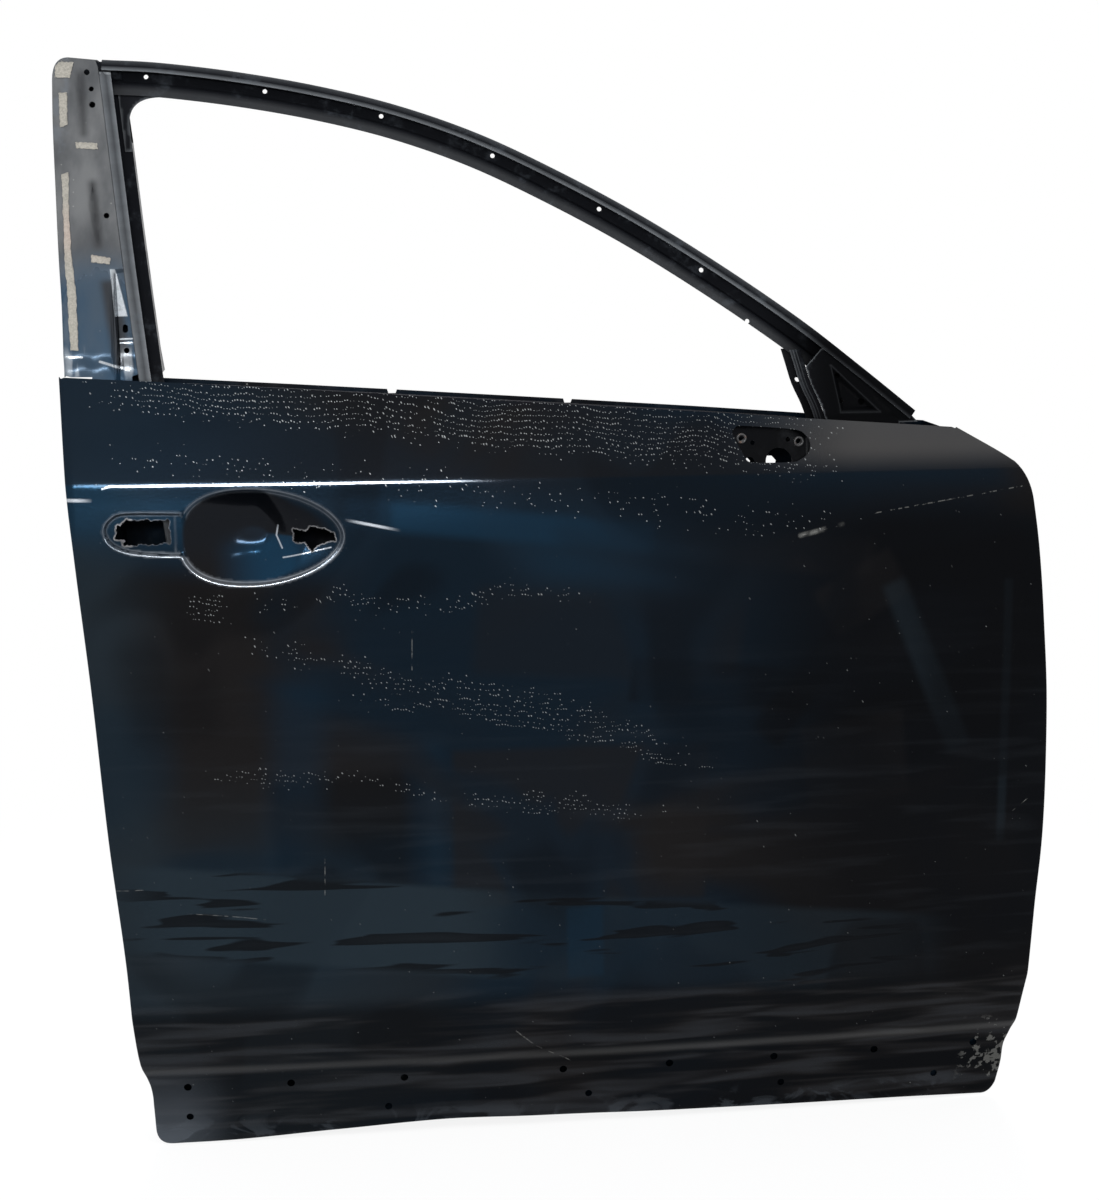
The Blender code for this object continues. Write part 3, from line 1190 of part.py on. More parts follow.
def wall_plate(name, face, height, tall, holes):
    """An angled reinforcement in the corner of a wall and the broad face."""
    seat = INNER_Y - CLEAR - HEAVY
    behind = -(CLEAR + HEAVY)
    side = -1 if face == "hinge" else 1
    rails = [[], [], []]
    for z in (height - tall / 2, height + tall / 2):
        corner = on_wall(face, z, seat, behind)
        rails[0].append((corner.x + side * HINGE_PLATE_RETURN, seat, z))
        rails[1].append(tuple(corner))
        rails[2].append(tuple(on_wall(face, z, SEAL_Y + FACE_MARGIN, behind)))
    sheet = Sheet()
    sheet.loft([np.array(rail) for rail in rails])
    body = sheet.solid(name, BARE_STEEL, HEAVY)
    cut(body, holes)
    return body


def wall_nut(name, face, height, depth_y, bore=NUT_BORE):
    """A weld nut behind a wall's reinforcement."""
    seat = -(2 * CLEAR + HEAVY)
    start = on_wall(face, height, depth_y, seat)
    end = on_wall(face, height, depth_y, seat - NUT_HEIGHT)
    return ring_body(name, start, end, NUT_RADIUS, bore, BARE_STEEL, 12, True)


def wall_pieces():
    """Reinforcements and weld nuts of hinges, check link and latch."""
    for where, height in HINGE_HEIGHTS.items():
        wall_plate(f"hinge_reinforcement_{where}", "hinge", height, HINGE_PLATE_HEIGHT, hinge_holes())
        for number, side in ((1, -1), (2, 1)):
            wall_nut(f"hinge_nut_{where}_{number}", "hinge", height + side * HINGE_BOLT_PITCH / 2, HINGE_BOLT_Y)
    wall_plate("check_reinforcement", "hinge", CHECK_HEIGHT, CHECK_PLATE_HEIGHT, check_holes())
    for number, side in ((1, -1), (2, 1)):
        wall_nut(f"check_nut_{number}", "hinge", CHECK_HEIGHT + side * CHECK_BOLT_PITCH / 2, HINGE_BOLT_Y)
    wall_plate("latch_reinforcement", "latch", LATCH_HEIGHT, LATCH_PLATE_HEIGHT, latch_holes())


def mirror_bracket():
    """The dished plate behind the mirror opening, with its two clinch nuts."""
    dish = ccw(MIRROR_DISH)

    def height(x, z):
        return skin_y(x, z) + MIRROR_PLATE_DEPTH + drawn(x, z, dish, MIRROR_DISH_DEPTH, MIRROR_DISH_RAMP)

    holes = [circle(x, z, MIRROR_NUT_RADIUS + CLEAR, 12) for x, z in MIRROR_NUTS]
    holes += [circle(x, z, r, 8) for x, z, r in MIRROR_PLATE_HOLES]
    holes += [circle(x, z, r, 14) for x, z, r in MIRROR_ARCHES]
    lines = [closed(dish), closed(inset(dish, MIRROR_DISH_RAMP)), level(Z_LINE, 0.1, 0.35)]
    sheet = Sheet()
    sheet.draw(np.array(MIRROR_PLATE), height, holes, lines, FINE_FIELD)
    sheet.solid("mirror_bracket", NAVY, SHEET)
    for number, (x, z) in enumerate(MIRROR_NUTS, 1):
        front = float(height(np.array([x]), np.array([z]))[0]) - MIRROR_NUT_PROUD
        ring_body(f"mirror_nut_{number}", (x, front, z), (x, front + MIRROR_NUT_HEIGHT, z),
                  MIRROR_NUT_RADIUS, MIRROR_NUT_BORE, BARE_STEEL, 12)


def lock_reinforcement():
    """The plate behind the lock pocket of the handle."""
    pocket = ccw(POCKET)

    def height(x, z):
        return skin_y(x, z) + LOCK_PLATE_GAP + drawn(x, z, pocket, POCKET_DEPTH, POCKET_RAMP)

    window = inset(ccw(LOCK_OPENING), -0.0025)
    lines = [closed(pocket), closed(inset(pocket, POCKET_RAMP))]
    sheet = Sheet()
    sheet.draw(np.array(LOCK_PLATE), height, [window], lines, FINE_FIELD)
    return sheet.solid("lock_reinforcement", BLACK_STEEL)


def foam_tapes():
    """What is left of the foam tape on the pillar plate."""
    for name, outline in TAPES.items():
        slab(f"foam_tape_{name}", ccw(outline), lambda x, z: pillar_y(x, z) - TAPE_GAP - TAPE_THICKNESS,
             lambda x, z: pillar_y(x, z) - TAPE_GAP, FOAM, 0.03)


def main():
    """Clear the scene and build the door."""
    for body in list(bpy.data.objects):
        bpy.data.objects.remove(body)
    outer_panel()
    inner_panel()
    header_rail_outer()
    header_rail_inner()
    pillar_panel()
    pillar_inner()
    rear_run_channel()
    front_run_channel()
    run_bracket("rear_run_bracket", REAR_BRACKET, REAR_RUN_SECTION, run_y(RUN_LEVEL_Z))
    run_bracket("front_run_bracket", FRONT_BRACKET, FRONT_RUN_SECTION, run_y(FRONT_RUN_LEVEL_Z))
    corner_gusset()
    mirror_corner_panel()
    front_sash_foot()
    belt_reinforcement_outer()
    belt_reinforcement_inner()
    impact_beam()
    beam_bracket("beam_bracket_rear", BRACKET_REAR, [BRACKET_REAR[:3], BRACKET_REAR[3:]])
    beam_bracket("beam_bracket_front", BRACKET_FRONT,
                 [BRACKET_FRONT[1:4], BRACKET_FRONT[4:] + BRACKET_FRONT[:1]])
    mastic_pads()
    wall_pieces()
    mirror_bracket()
    lock_reinforcement()
    foam_tapes()


main()
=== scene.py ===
"""Visual model of a car door shell: painted skin, window frame and inner panel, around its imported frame.

The door keeps the frame's axes: +X to the front of the car, -Y to the outside, +Z up. All lengths are metres.
Every sheet is a height over (x, z), or a section carried along a line, worked out as whole arrays.
"""
import math

import bpy
import numpy as np
from bpy.props import FloatProperty, FloatVectorProperty, PointerProperty
from mathutils import Matrix, Vector
from mathutils.geometry import delaunay_2d_cdt


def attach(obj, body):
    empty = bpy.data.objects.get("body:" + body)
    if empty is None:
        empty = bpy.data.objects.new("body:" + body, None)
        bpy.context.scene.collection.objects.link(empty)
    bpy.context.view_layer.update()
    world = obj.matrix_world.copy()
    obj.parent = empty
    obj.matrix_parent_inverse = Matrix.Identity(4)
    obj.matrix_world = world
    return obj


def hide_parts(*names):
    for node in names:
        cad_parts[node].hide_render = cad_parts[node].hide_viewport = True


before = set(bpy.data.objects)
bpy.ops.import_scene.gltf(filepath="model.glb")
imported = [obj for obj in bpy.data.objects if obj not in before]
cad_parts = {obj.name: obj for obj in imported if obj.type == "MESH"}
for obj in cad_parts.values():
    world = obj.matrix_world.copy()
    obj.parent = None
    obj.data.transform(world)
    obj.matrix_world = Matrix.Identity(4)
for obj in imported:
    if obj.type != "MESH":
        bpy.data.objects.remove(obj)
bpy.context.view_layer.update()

bl_info = {
    "name": "Car door shell",
    "version": (1, 0, 0),
    "blender": (4, 5, 0),
    "location": "3D View > Sidebar > Door",
    "description": "Builds a bare car door with its skin, window frame and inner panel",
    "category": "Add Mesh",
}

# Gauges and clearances
SHEET = 0.0008
CLEAR = 0.0003
HEM_CLEAR = 0.0005
HEM_WIDTH = 0.009
HEM_PITCH = 3 * SHEET + 2 * HEM_CLEAR

# Form of the skin: a crowned sheet whose section over height has four creases
CROWN_X = -0.15
CROWN_RADIUS = 12.0
SKIN_DEPTH = 0.093
Z_RECESS = 0.090
Z_STEP = 0.105
Z_SILL = 0.172
Z_LINE = 0.785
FOOT = [(-0.01, 0.0287), (Z_RECESS, 0.022), (Z_STEP, 0.012), (Z_SILL, -0.004)]
BODY = [(Z_SILL, -0.004), (0.25, 0.0025), (0.32, 0.0035), (0.45, -0.004), (0.60, -0.011), (0.70, -0.010),
        (Z_LINE, 0.0)]
SHOULDER = [(0.90, 0.031), (1.02, 0.065), (1.12, 0.105), (1.26, 0.163)]

# Outline of the skin in (x, z), from the rear belt corner round to the front belt corner
REAR_EDGE = [(-0.551, 0.898), (-0.546, 0.781), (-0.539, 0.696), (-0.529, 0.562), (-0.519, 0.375),
             (-0.507, 0.232), (-0.499, 0.118), (-0.488, 0.074), (-0.486, 0.048), (-0.485, 0.022)]
REAR_FOOT = (-0.4845, 0.001)
BOTTOM_EDGE = [(-0.466, 0.0012), (-0.389, 0.003), (-0.272, 0.010), (-0.195, 0.0148), (-0.10, 0.016),
               (0.02, 0.013), (0.16, 0.010), (0.284, 0.008), (0.411, 0.006), (0.512, 0.003)]
FRONT_FOOT = (0.526, 0.001)
FRONT_EDGE = [(0.533, 0.018), (0.538, 0.045), (0.540, 0.070), (0.549, 0.096), (0.554, 0.15), (0.562, 0.25),
              (0.567, 0.35), (0.560, 0.50), (0.550, 0.598), (0.539, 0.692), (0.531, 0.748)]
FRONT_SHOULDER = (0.527, 0.776)
CHAMFER_EDGE = [(0.508, 0.793), (0.486, 0.8065), (0.440, 0.832)]
BELT_EDGE = [(0.440, 0.832), (0.256, 0.8455), (0.144, 0.854), (-0.10, 0.8705), (-0.348, 0.8865), (-0.551, 0.898)]

# Skin: holes for the sill cladding's clips
CLIP_RADIUS = 0.0045
CLIP_ROW_Z = 0.0745
CLIP_ROW_START = -0.446
CLIP_ROW_PITCHES = [0.0, 0.119, 0.251, 0.439, 0.567, 0.695, 0.820, 0.946]
LOW_CLIP_RADIUS = 0.0042
LOW_CLIPS = [(-0.445, 0.036), (-0.214, 0.038), (0.024, 0.040), (0.259, 0.039), (0.452, 0.036)]

# Skin: handle scoop, its lock pocket and the two torn-edged openings
SCOOP_CENTRE = (-0.351, 0.727)
SCOOP_REAR = 0.077
SCOOP_FRONT = 0.100
SCOOP_HALF_HEIGHT = 0.0525
SCOOP_DEPTH = 0.030
SCOOP_LAND_DEPTH = 0.010
SCOOP_LAND_X = (-0.335, -0.290)
POCKET = [(-0.432, 0.7545), (-0.482, 0.7555), (-0.500, 0.750), (-0.508, 0.737), (-0.502, 0.722), (-0.483, 0.7125),
          (-0.452, 0.7085), (-0.432, 0.7075)]
POCKET_DEPTH = 0.004
POCKET_RAMP = 0.0045
LOCK_OPENING = [(-0.494, 0.742), (-0.485, 0.744), (-0.484, 0.7475), (-0.438, 0.7465), (-0.437, 0.7225),
                (-0.452, 0.721), (-0.487, 0.7205), (-0.487, 0.7255), (-0.4945, 0.7275)]
GRIP_OPENING = [(-0.306, 0.7335), (-0.291, 0.7325), (-0.285, 0.738), (-0.262, 0.731), (-0.2605, 0.7225),
                (-0.278, 0.7185), (-0.2855, 0.7105), (-0.293, 0.7195), (-0.306, 0.7205)]

# Skin: opening for the mirror's foot
MIRROR_OPENING = [(0.180, 0.829), (0.184, 0.836), (0.192, 0.8378), (0.249, 0.8332), (0.262, 0.828), (0.2685, 0.8185),
                  (0.266, 0.807), (0.256, 0.800), (0.246, 0.7975), (0.203, 0.7980), (0.195, 0.801)]

# Skin: dents as (x, z, half width, half height, depth inwards)
DENTS = [(-0.389, 0.362, 0.030, 0.022, 0.0045), (-0.365, 0.335, 0.022, 0.016, 0.0025),
         (-0.500, 0.310, 0.026, 0.014, 0.0035), (-0.410, 0.283, 0.055, 0.010, 0.0020),
         (-0.115, 0.045, 0.100, 0.022, 0.0030)]

# Width of the flange behind the skin's edge, where the dents fade out
FLANGE_WIDTH = 0.0145

# Window frame: outer edge of the header in (x, z), then its section as (across, inwards)
HEADER_EDGE = [(-0.5028, 1.2330), (-0.440, 1.2300), (-0.353, 1.2200), (-0.265, 1.2050), (-0.178, 1.1840),
               (-0.090, 1.1535), (-0.003, 1.1130), (0.085, 1.0660), (0.173, 1.0120), (0.262, 0.9520),
               (0.330, 0.9000), (0.392, 0.8505)]
HEADER_SECTION = [(0.0105, 0.0005), (0.0, 0.0015), (0.0005, 0.020), (0.022, 0.020), (0.0235, 0.015),
                  (0.0360, 0.015)]
HEADER_BOX = [(0.0350, 0.0153), (0.0260, 0.0153), (0.0250, 0.042), (0.0012, 0.042), (0.0012, 0.0203)]
HEADER_HOLE_START = 0.047
HEADER_HOLE_PITCH = 0.1325
HEADER_HOLE_COUNT = 6
HEADER_HOLE_ACROSS = 0.0148
HEADER_HOLE_RADIUS = 0.0026
HEADER_ACCESS_RADIUS = 0.0075
HEADER_EDGE_HOLE = (0.200, 0.9535)

# Window frame: rear pillar plate
PILLAR_REAR = [(-0.5455, 0.8976), (-0.5465, 0.968), (-0.549, 1.020), (-0.552, 1.085), (-0.5555, 1.160),
               (-0.5565, 1.212)]
PILLAR_TOP_CORNER = (-0.5565, 1.2355)
PILLAR_TOP = [(-0.540, 1.2362), (-0.508, 1.2335)]
PILLAR_FRONT = [(-0.508, 1.2335), (-0.467, 0.900)]
PILLAR_TAB = (-0.516, -0.474, 0.815)
PILLAR_FLANGE = 0.024
PILLAR_JOGGLE = 0.0042
PILLAR_JOGGLE_Z = (0.903, 0.922)
PILLAR_SPINDLES = [[(-0.529, 1.226), (-0.519, 1.216), (-0.519, 1.180), (-0.522, 1.150), (-0.529, 1.180),
                    (-0.532, 1.210)],
                   [(-0.515, 1.108), (-0.507, 1.089), (-0.503, 1.057), (-0.503, 1.032), (-0.511, 1.041),
                    (-0.518, 1.078)]]
SPINDLE_DEPTH = 0.003
PILLAR_RECESS = [(-0.494, 1.010), (-0.460, 1.014), (-0.448, 0.890), (-0.491, 0.890)]
PILLAR_RECESS_DEPTH = 0.005
PILLAR_HOLES = [(-0.519, 1.220, 0.0032), (-0.514, 1.202, 0.0027), (-0.513, 1.185, 0.0034), (-0.498, 1.067, 0.0030),
                (-0.480, 0.948, 0.0034), (-0.479, 0.925, 0.0030)]

# Glass run channels as sections (across towards the glass, inwards)
REAR_RUN_SECTION = [(0.0130, 0.0010), (0.0004, 0.0010), (0.0004, 0.020), (0.0245, 0.020)]
REAR_RUN_LINE = [(-0.5034, 1.1962), (-0.467, 0.900), (-0.4255, 0.560), (-0.4178, 0.495)]
FRONT_RUN_SECTION = [(-0.0120, 0.0035), (-0.0085, 0.0025), (-0.0050, 0.0035), (0.0, 0.0035), (0.0, 0.020),
                     (-0.0180, 0.020)]
FRONT_RUN_LINE = [(0.2665, 0.9005), (0.2725, 0.8800), (0.2860, 0.8480), (0.2930, 0.800), (0.3170, 0.480)]
RUN_LEVEL_Z = 0.90
FRONT_RUN_LEVEL_Z = 0.848

# Tops of the rear and the front run, close under the header
RUN_TOPS = [(-0.5055, 1.2125), (0.2612, 0.9190)]

# Corner pieces of the frame
GUSSET_RADIUS = 0.034
GUSSET_FOOT_Z = 1.135
GUSSET_TOP = [(-0.4395, 1.1942), (-0.405, 1.1915), (-0.405, 1.1965), (-0.4395, 1.199)]
GUSSET_LAP = 0.008
GUSSET_DEPTH = 0.0181
CORNER_PANEL = [(0.372, 0.800), (0.374, 0.8380), (0.3955, 0.8385), (0.3883, 0.8458), (0.3263, 0.8953),
                (0.2963, 0.9188), (0.2860, 0.9200)]
CORNER_PANEL_FOOT_Z = 0.800
CORNER_PANEL_DEPTH = 0.0024
CORNER_JOGGLE = 0.0018
CORNER_JOGGLE_Z = (0.843, 0.850)
CORNER_RECESS = [(0.2960, 0.9020), (0.3060, 0.8500), (0.352, 0.8500)]
CORNER_RECESS_DEPTH = 0.006
CORNER_HOLES = [(0.3035, 0.890, 0.003), (0.3075, 0.862, 0.003), (0.331, 0.861, 0.0035)]

# Mirror bracket behind the skin, with its two ring nuts
MIRROR_PLATE = [(0.163, 0.772), (0.2755, 0.772), (0.2755, 0.8405), (0.163, 0.8405)]
MIRROR_PLATE_DEPTH = 0.0013
MIRROR_DISH = [(0.171, 0.779), (0.2715, 0.779), (0.2715, 0.870), (0.171, 0.870)]
MIRROR_DISH_DEPTH = 0.006
MIRROR_DISH_RAMP = 0.005
MIRROR_NUTS = [(0.1915, 0.8235), (0.2570, 0.8190)]
MIRROR_NUT_RADIUS = 0.0058
MIRROR_NUT_BORE = 0.0034
MIRROR_PLATE_HOLES = [(0.204, 0.8185, 0.0026), (0.2445, 0.8215, 0.0026)]
MIRROR_ARCHES = [(0.2335, 0.7975, 0.0150), (0.2000, 0.7975, 0.0055)]
MIRROR_NUT_HEIGHT = 0.008
MIRROR_NUT_PROUD = 0.002

# Foam tape left on the pillar plate
TAPE_GAP = 0.0006
TAPE_THICKNESS = 0.0012
TAPES = {
    "corner": [(-0.553, 1.214), (-0.537, 1.214), (-0.533, 1.231), (-0.549, 1.231), (-0.553, 1.226)],
    "upper": [(-0.5475, 1.1605), (-0.5395, 1.163), (-0.540, 1.1985), (-0.549, 1.1975)],
    "middle": [(-0.5305, 1.1385), (-0.507, 1.1370), (-0.508, 1.1440), (-0.531, 1.1450)],
    "long": [(-0.5380, 0.926), (-0.5295, 0.926), (-0.5305, 0.980), (-0.5355, 1.030), (-0.5375, 1.062),
             (-0.5385, 1.113), (-0.5460, 1.111), (-0.5435, 1.062), (-0.5430, 1.030), (-0.5400, 0.980)],
    "lower": [(-0.5145, 1.0180), (-0.4945, 1.0160), (-0.4940, 1.0225), (-0.5145, 1.0260)],
}


# Lines and loops in (x, z)
def lengths(line):
    """Length along an open line at each of its points."""
    return np.concatenate([[0.0], np.cumsum(np.linalg.norm(np.diff(line, axis=0), axis=1))])


def smooth(points, step=0.005):
    """Points on a Catmull-Rom curve through the given ones, no more than a step apart."""
    given = np.asarray(points, float)
    run = np.vstack([2 * given[0] - given[1], given, 2 * given[-1] - given[-2]])
    out = []
    for a, b, c, d in zip(run, run[1:], run[2:], run[3:]):
        count = max(1, math.ceil(np.linalg.norm(c - b) / step))
        t = (np.arange(count) / count)[:, None]
        out.append(0.5 * (2 * b + (c - a) * t + (2 * a - 5 * b + 4 * c - d) * t ** 2
                          + (3 * b - a - 3 * c + d) * t ** 3))
    return np.vstack(out + [given[-1:]])


def resampled(line, step):
    """The same open line with points an even step apart, its corners kept to within that step."""
    run = lengths(line)
    at = np.linspace(0, run[-1], max(2, math.ceil(run[-1] / step) + 1))
    return np.stack([np.interp(at, run, column) for column in np.asarray(line, float).T], 1)


def split_long(line, step):
    """The same open line with points added between its own, so that none are further apart than a step."""
    out = []
    for a, b in zip(line, line[1:]):
        count = max(1, math.ceil(np.linalg.norm(b - a) / step))
        out.append(a + (b - a) * (np.arange(count) / count)[:, None])
    return np.vstack(out + [line[-1:]])


def round_corner(start, sharp, end, count=7):
    """Points between start and end on a quadratic curve about a sharp corner, ends left out."""
    a, b, c = (np.asarray(p, float) for p in (start, sharp, end))
    t = np.linspace(0, 1, count + 2)[1:-1, None]
    return (1 - t) ** 2 * a + 2 * t * (1 - t) * b + t ** 2 * c


def rounded(line, radius, count=4):
    """An open line with each inner corner replaced by a small quadratic curve of about a radius."""
    line = np.asarray(line, float)
    out = [line[:1]]
    for a, b, c in zip(line, line[1:], line[2:]):
        back, on = np.linalg.norm(a - b), np.linalg.norm(c - b)
        near = b + (a - b) * min(radius, 0.45 * back) / back
        far = b + (c - b) * min(radius, 0.45 * on) / on
        out += [near[None], round_corner(near, b, far, count), far[None]]
    return np.vstack(out + [line[-1:]])


def closed(loop):
    """The loop as an open line that ends where it starts."""
    return np.vstack([loop, loop[:1]])


def inset(loop, distance):
    """A closed anticlockwise loop moved to its inside by a distance, with mitred corners."""
    points = np.asarray(loop, float)
    along = np.roll(points, -1, 0) - points
    along /= np.linalg.norm(along, axis=1)[:, None]
    normal = np.stack([-along[:, 1], along[:, 0]], 1)
    before = np.roll(normal, 1, 0)
    return points + distance * (normal + before) / (1 + (normal * before).sum(1))[:, None]


def ccw(loop):
    """The loop as an array that runs anticlockwise."""
    p = np.asarray(loop, float)
    q = np.roll(p, -1, 0)
    return p if (p[:, 0] * q[:, 1] - q[:, 0] * p[:, 1]).sum() > 0 else p[::-1]


def ccw_open(loop):
    """A loop's points as an open line, started at its widest gap."""
    gaps = np.linalg.norm(np.roll(loop, -1, 0) - loop, axis=1)
    return np.roll(loop, -int(np.argmax(gaps)) - 1, 0)


def circle(cx, cz, radius, sides=18):
    """A regular polygon about a centre, anticlockwise."""
    turn = 2 * math.pi * np.arange(sides) / sides
    return np.stack([cx + radius * np.cos(turn), cz + radius * np.sin(turn)], 1)


def rounded_box(cx, cz, width, height, radius, corner=6):
    """A rectangle with round corners, anticlockwise."""
    turn = np.concatenate([q * math.pi / 2 + np.linspace(0, math.pi / 2, corner) for q in range(4)])
    sx = np.repeat([1, -1, -1, 1], corner)
    sz = np.repeat([1, 1, -1, -1], corner)
    return np.stack([cx + sx * (width / 2 - radius) + radius * np.cos(turn),
                     cz + sz * (height / 2 - radius) + radius * np.sin(turn)], 1)


def torn(loop, depth, seed, step=0.0011):
    """A loop with a ragged edge: even points moved across it by a sum of seeded waves and a fine jag."""
    line = resampled(closed(np.asarray(loop, float)), step)[:-1]
    source = np.random.default_rng(seed)
    run = np.arange(len(line)) / len(line) * 2 * math.pi
    push = source.uniform(-0.5, 0.5, len(line))
    for waves in (7, 13, 23, 41):
        push += np.sin(run * waves + source.uniform(0, 6.3)) * source.uniform(0.3, 0.8)
    along = np.roll(line, -1, 0) - np.roll(line, 1, 0)
    along /= np.linalg.norm(along, axis=1)[:, None]
    return line + np.stack([along[:, 1], -along[:, 0]], 1) * (depth * 0.5 * push)[:, None]


def distance_to(spots, line):
    """Distance of each spot to an open line: the least over its segments, in blocks to save memory."""
    a, d = line[:-1], line[1:] - line[:-1]
    size = np.maximum((d * d).sum(1), 1e-18)
    out = []
    for block in np.array_split(spots, max(1, len(spots) * len(a) // 4_000_000 + 1)):
        off = block[:, None] - a
        t = np.clip((off * d).sum(-1) / size, 0, 1)
        out.append(np.sqrt(((off - t[..., None] * d) ** 2).sum(-1)).min(1))
    return np.concatenate(out)


def is_inside(spots, loop):
    """Whether each spot lies inside a closed loop, by counting crossings to its left."""
    a, b = loop, np.roll(loop, -1, 0)
    rise = np.where(b[:, 1] == a[:, 1], 1.0, b[:, 1] - a[:, 1])
    out = []
    for block in np.array_split(spots, max(1, len(spots) * len(a) // 8_000_000 + 1)):
        px, pz = block[:, :1], block[:, 1:]
        spans = (a[:, 1] > pz) != (b[:, 1] > pz)
        left = px < a[:, 0] + (pz - a[:, 1]) * (b[:, 0] - a[:, 0]) / rise
        out.append((spans & left).sum(1) % 2 == 1)
    return np.concatenate(out)


def depth_inside(x, z, loop):
    """How deep each point lies inside a closed loop; negative outside it. Far points are left at -1."""
    spots = np.stack([np.ravel(x), np.ravel(z)], 1)
    low, high = loop.min(0) - 0.02, loop.max(0) + 0.02
    near = ((spots > low) & (spots < high)).all(1)
    out = np.full(len(spots), -1.0)
    if near.any():
        away = distance_to(spots[near], closed(loop))
        out[near] = np.where(is_inside(spots[near], loop), away, -away)
    return out.reshape(np.shape(x))


def ease(value, low, high):
    """Nothing below low, one above high, with a smooth start and end between."""
    t = np.clip((value - low) / (high - low), 0, 1)
    return t * t * (3 - 2 * t)


def lattice(columns, rows):
    """All the crossings of the columns and the rows."""
    x, z = np.meshgrid(columns, rows)
    return np.stack([x.ravel(), z.ravel()], 1)


def thinned(spots, box):
    """The spots that lie outside a box (left, low, right, high)."""
    left, low, right, high = box
    x, z = spots.T
    return spots[(x < left) | (x > right) | (z < low) | (z > high)]


# Sheets
def fill(outline, holes=(), lines=(), spots=()):
    """Triangles inside an outline and outside its holes: Delaunay triangles that keep the loops and lines.

    spots are pairs of loose points and the distance that they keep from the loops and lines.
    """
    runs = [closed(loop) for loop in (outline, *holes)] + [np.asarray(line, float) for line in lines]
    points = list(runs)
    edges, base = [], 0
    for run in runs:
        edges += [(base + i, base + i + 1) for i in range(len(run) - 1)]
        base += len(run)
    for loose, gap in spots:
        loose = loose[is_inside(loose, outline)]
        for run in runs:
            low, high = run.min(0) - gap, run.max(0) + gap
            near = np.flatnonzero(((loose > low) & (loose < high)).all(1))
            if len(near):
                close = near[distance_to(loose[near], run) < gap]
                loose = np.delete(loose, close, 0)
        points.append(loose)
    given = [Vector(p) for p in np.vstack(points).tolist()]
    verts, _, faces, _, _, _ = delaunay_2d_cdt(given, edges, [], 0, 1e-6)
    flat, faces = np.array([tuple(v) for v in verts]), np.array(faces)
    middle = flat[faces].mean(1)
    keep = is_inside(middle, outline)
    for hole in holes:
        keep &= ~is_inside(middle, hole)
    a, b, c = flat[faces].transpose(1, 0, 2)
    keep &= np.abs((b - a)[:, 0] * (c - a)[:, 1] - (b - a)[:, 1] * (c - a)[:, 0]) > 1e-12
    used, renumbered = np.unique(faces[keep], return_inverse=True)
    return flat[used], renumbered.reshape(-1, 3)


def lofted(rails):
    """Points and triangles of a grid between rails, which are lines of equally many points."""
    count = len(rails[0])
    first = (np.arange(len(rails) - 1)[:, None] * count + np.arange(count - 1)).ravel()
    return np.vstack(rails), np.vstack([np.stack([first, first + count, first + count + 1], 1),
                                        np.stack([first, first + count + 1, first + 1], 1)])


def joined(*parts):
    """One sheet from several (points, triangles), with points closer than 0.02 mm made one."""
    points = np.vstack([p for p, _ in parts])
    base = np.cumsum([0] + [len(p) for p, _ in parts[:-1]])
    faces = np.vstack([f + b for (_, f), b in zip(parts, base)])
    _, first, same = np.unique(np.round(points / 0.00002).astype(int), axis=0, return_index=True,
                               return_inverse=True)
    faces = same.ravel()[faces]
    whole = (faces[:, 0] != faces[:, 1]) & (faces[:, 1] != faces[:, 2]) & (faces[:, 2] != faces[:, 0])
    return points[first], faces[whole]


def mean_normals(points, faces):
    """Unit normal at each point: the mean of its triangles, weighed by their area."""
    a, b, c = points[faces].transpose(1, 0, 2)
    normal = np.cross(b - a, c - a)
    total = np.zeros_like(points)
    for corner in range(3):
        np.add.at(total, faces[:, corner], normal)
    return total / np.maximum(np.linalg.norm(total, axis=1), 1e-15)[:, None]


def backed(points, behind, faces):
    """A closed body from a sheet and the partners behind its points: both sides, and a rim at its open edges."""
    count = len(points)
    start, end = faces.ravel(), np.roll(faces, -1, 1).ravel()
    rim = ~np.isin(start * count + end, end * count + start)
    start, end = start[rim], end[rim]
    return np.vstack([points, behind]), np.vstack([
        faces, faces[:, ::-1] + count,
        np.stack([end, start, start + count], 1), np.stack([end, start + count, end + count], 1)])


def thick(points, faces, gauge):
    """A sheet with a thickness: each point's partner lies one gauge behind it."""
    return backed(points, points - gauge * mean_normals(points, faces), faces)


def lifted(flat, height):
    """Points (x, height, z) over flat points (x, z)."""
    return np.stack([flat[:, 0], height(flat[:, 0], flat[:, 1]), flat[:, 1]], 1)


def piece(name, points, faces, finish, nodes, marks=None, sharp=38.0):
    """A mesh object from whole arrays, riding on the door in the place of its CAD nodes."""
    mesh = bpy.data.meshes.new(name)
    mesh.vertices.add(len(points))
    mesh.vertices.foreach_set("co", np.asarray(points, float).ravel())
    mesh.loops.add(3 * len(faces))
    mesh.loops.foreach_set("vertex_index", np.asarray(faces, np.int32).ravel())
    mesh.polygons.add(len(faces))
    mesh.polygons.foreach_set("loop_start", np.arange(0, 3 * len(faces), 3, dtype=np.int32))
    mesh.update(calc_edges=True)
    if mesh.validate():
        raise RuntimeError(f"{name} has broken faces")
    mesh.polygons.foreach_set("use_smooth", np.ones(len(faces), bool))
    mesh.set_sharp_from_angle(angle=math.radians(sharp))
    for mark, values in (marks or {}).items():
        layer = mesh.attributes.new(mark, "FLOAT", "POINT")
        layer.data.foreach_set("value", np.asarray(values, np.float32))
    mesh.materials.append(finish)
    made = bpy.data.objects.new(name, mesh)
    bpy.context.scene.collection.objects.link(made)
    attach(made, "root")
    if nodes:
        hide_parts(*nodes)
    return made


# Form of the skin: width over which its creases are eased, and the scoop's powers in front and at the rear
CREASE_EASE = 0.0028
SCOOP_POWERS = (1.85, 2.5)
RIM_EASE = 0.016


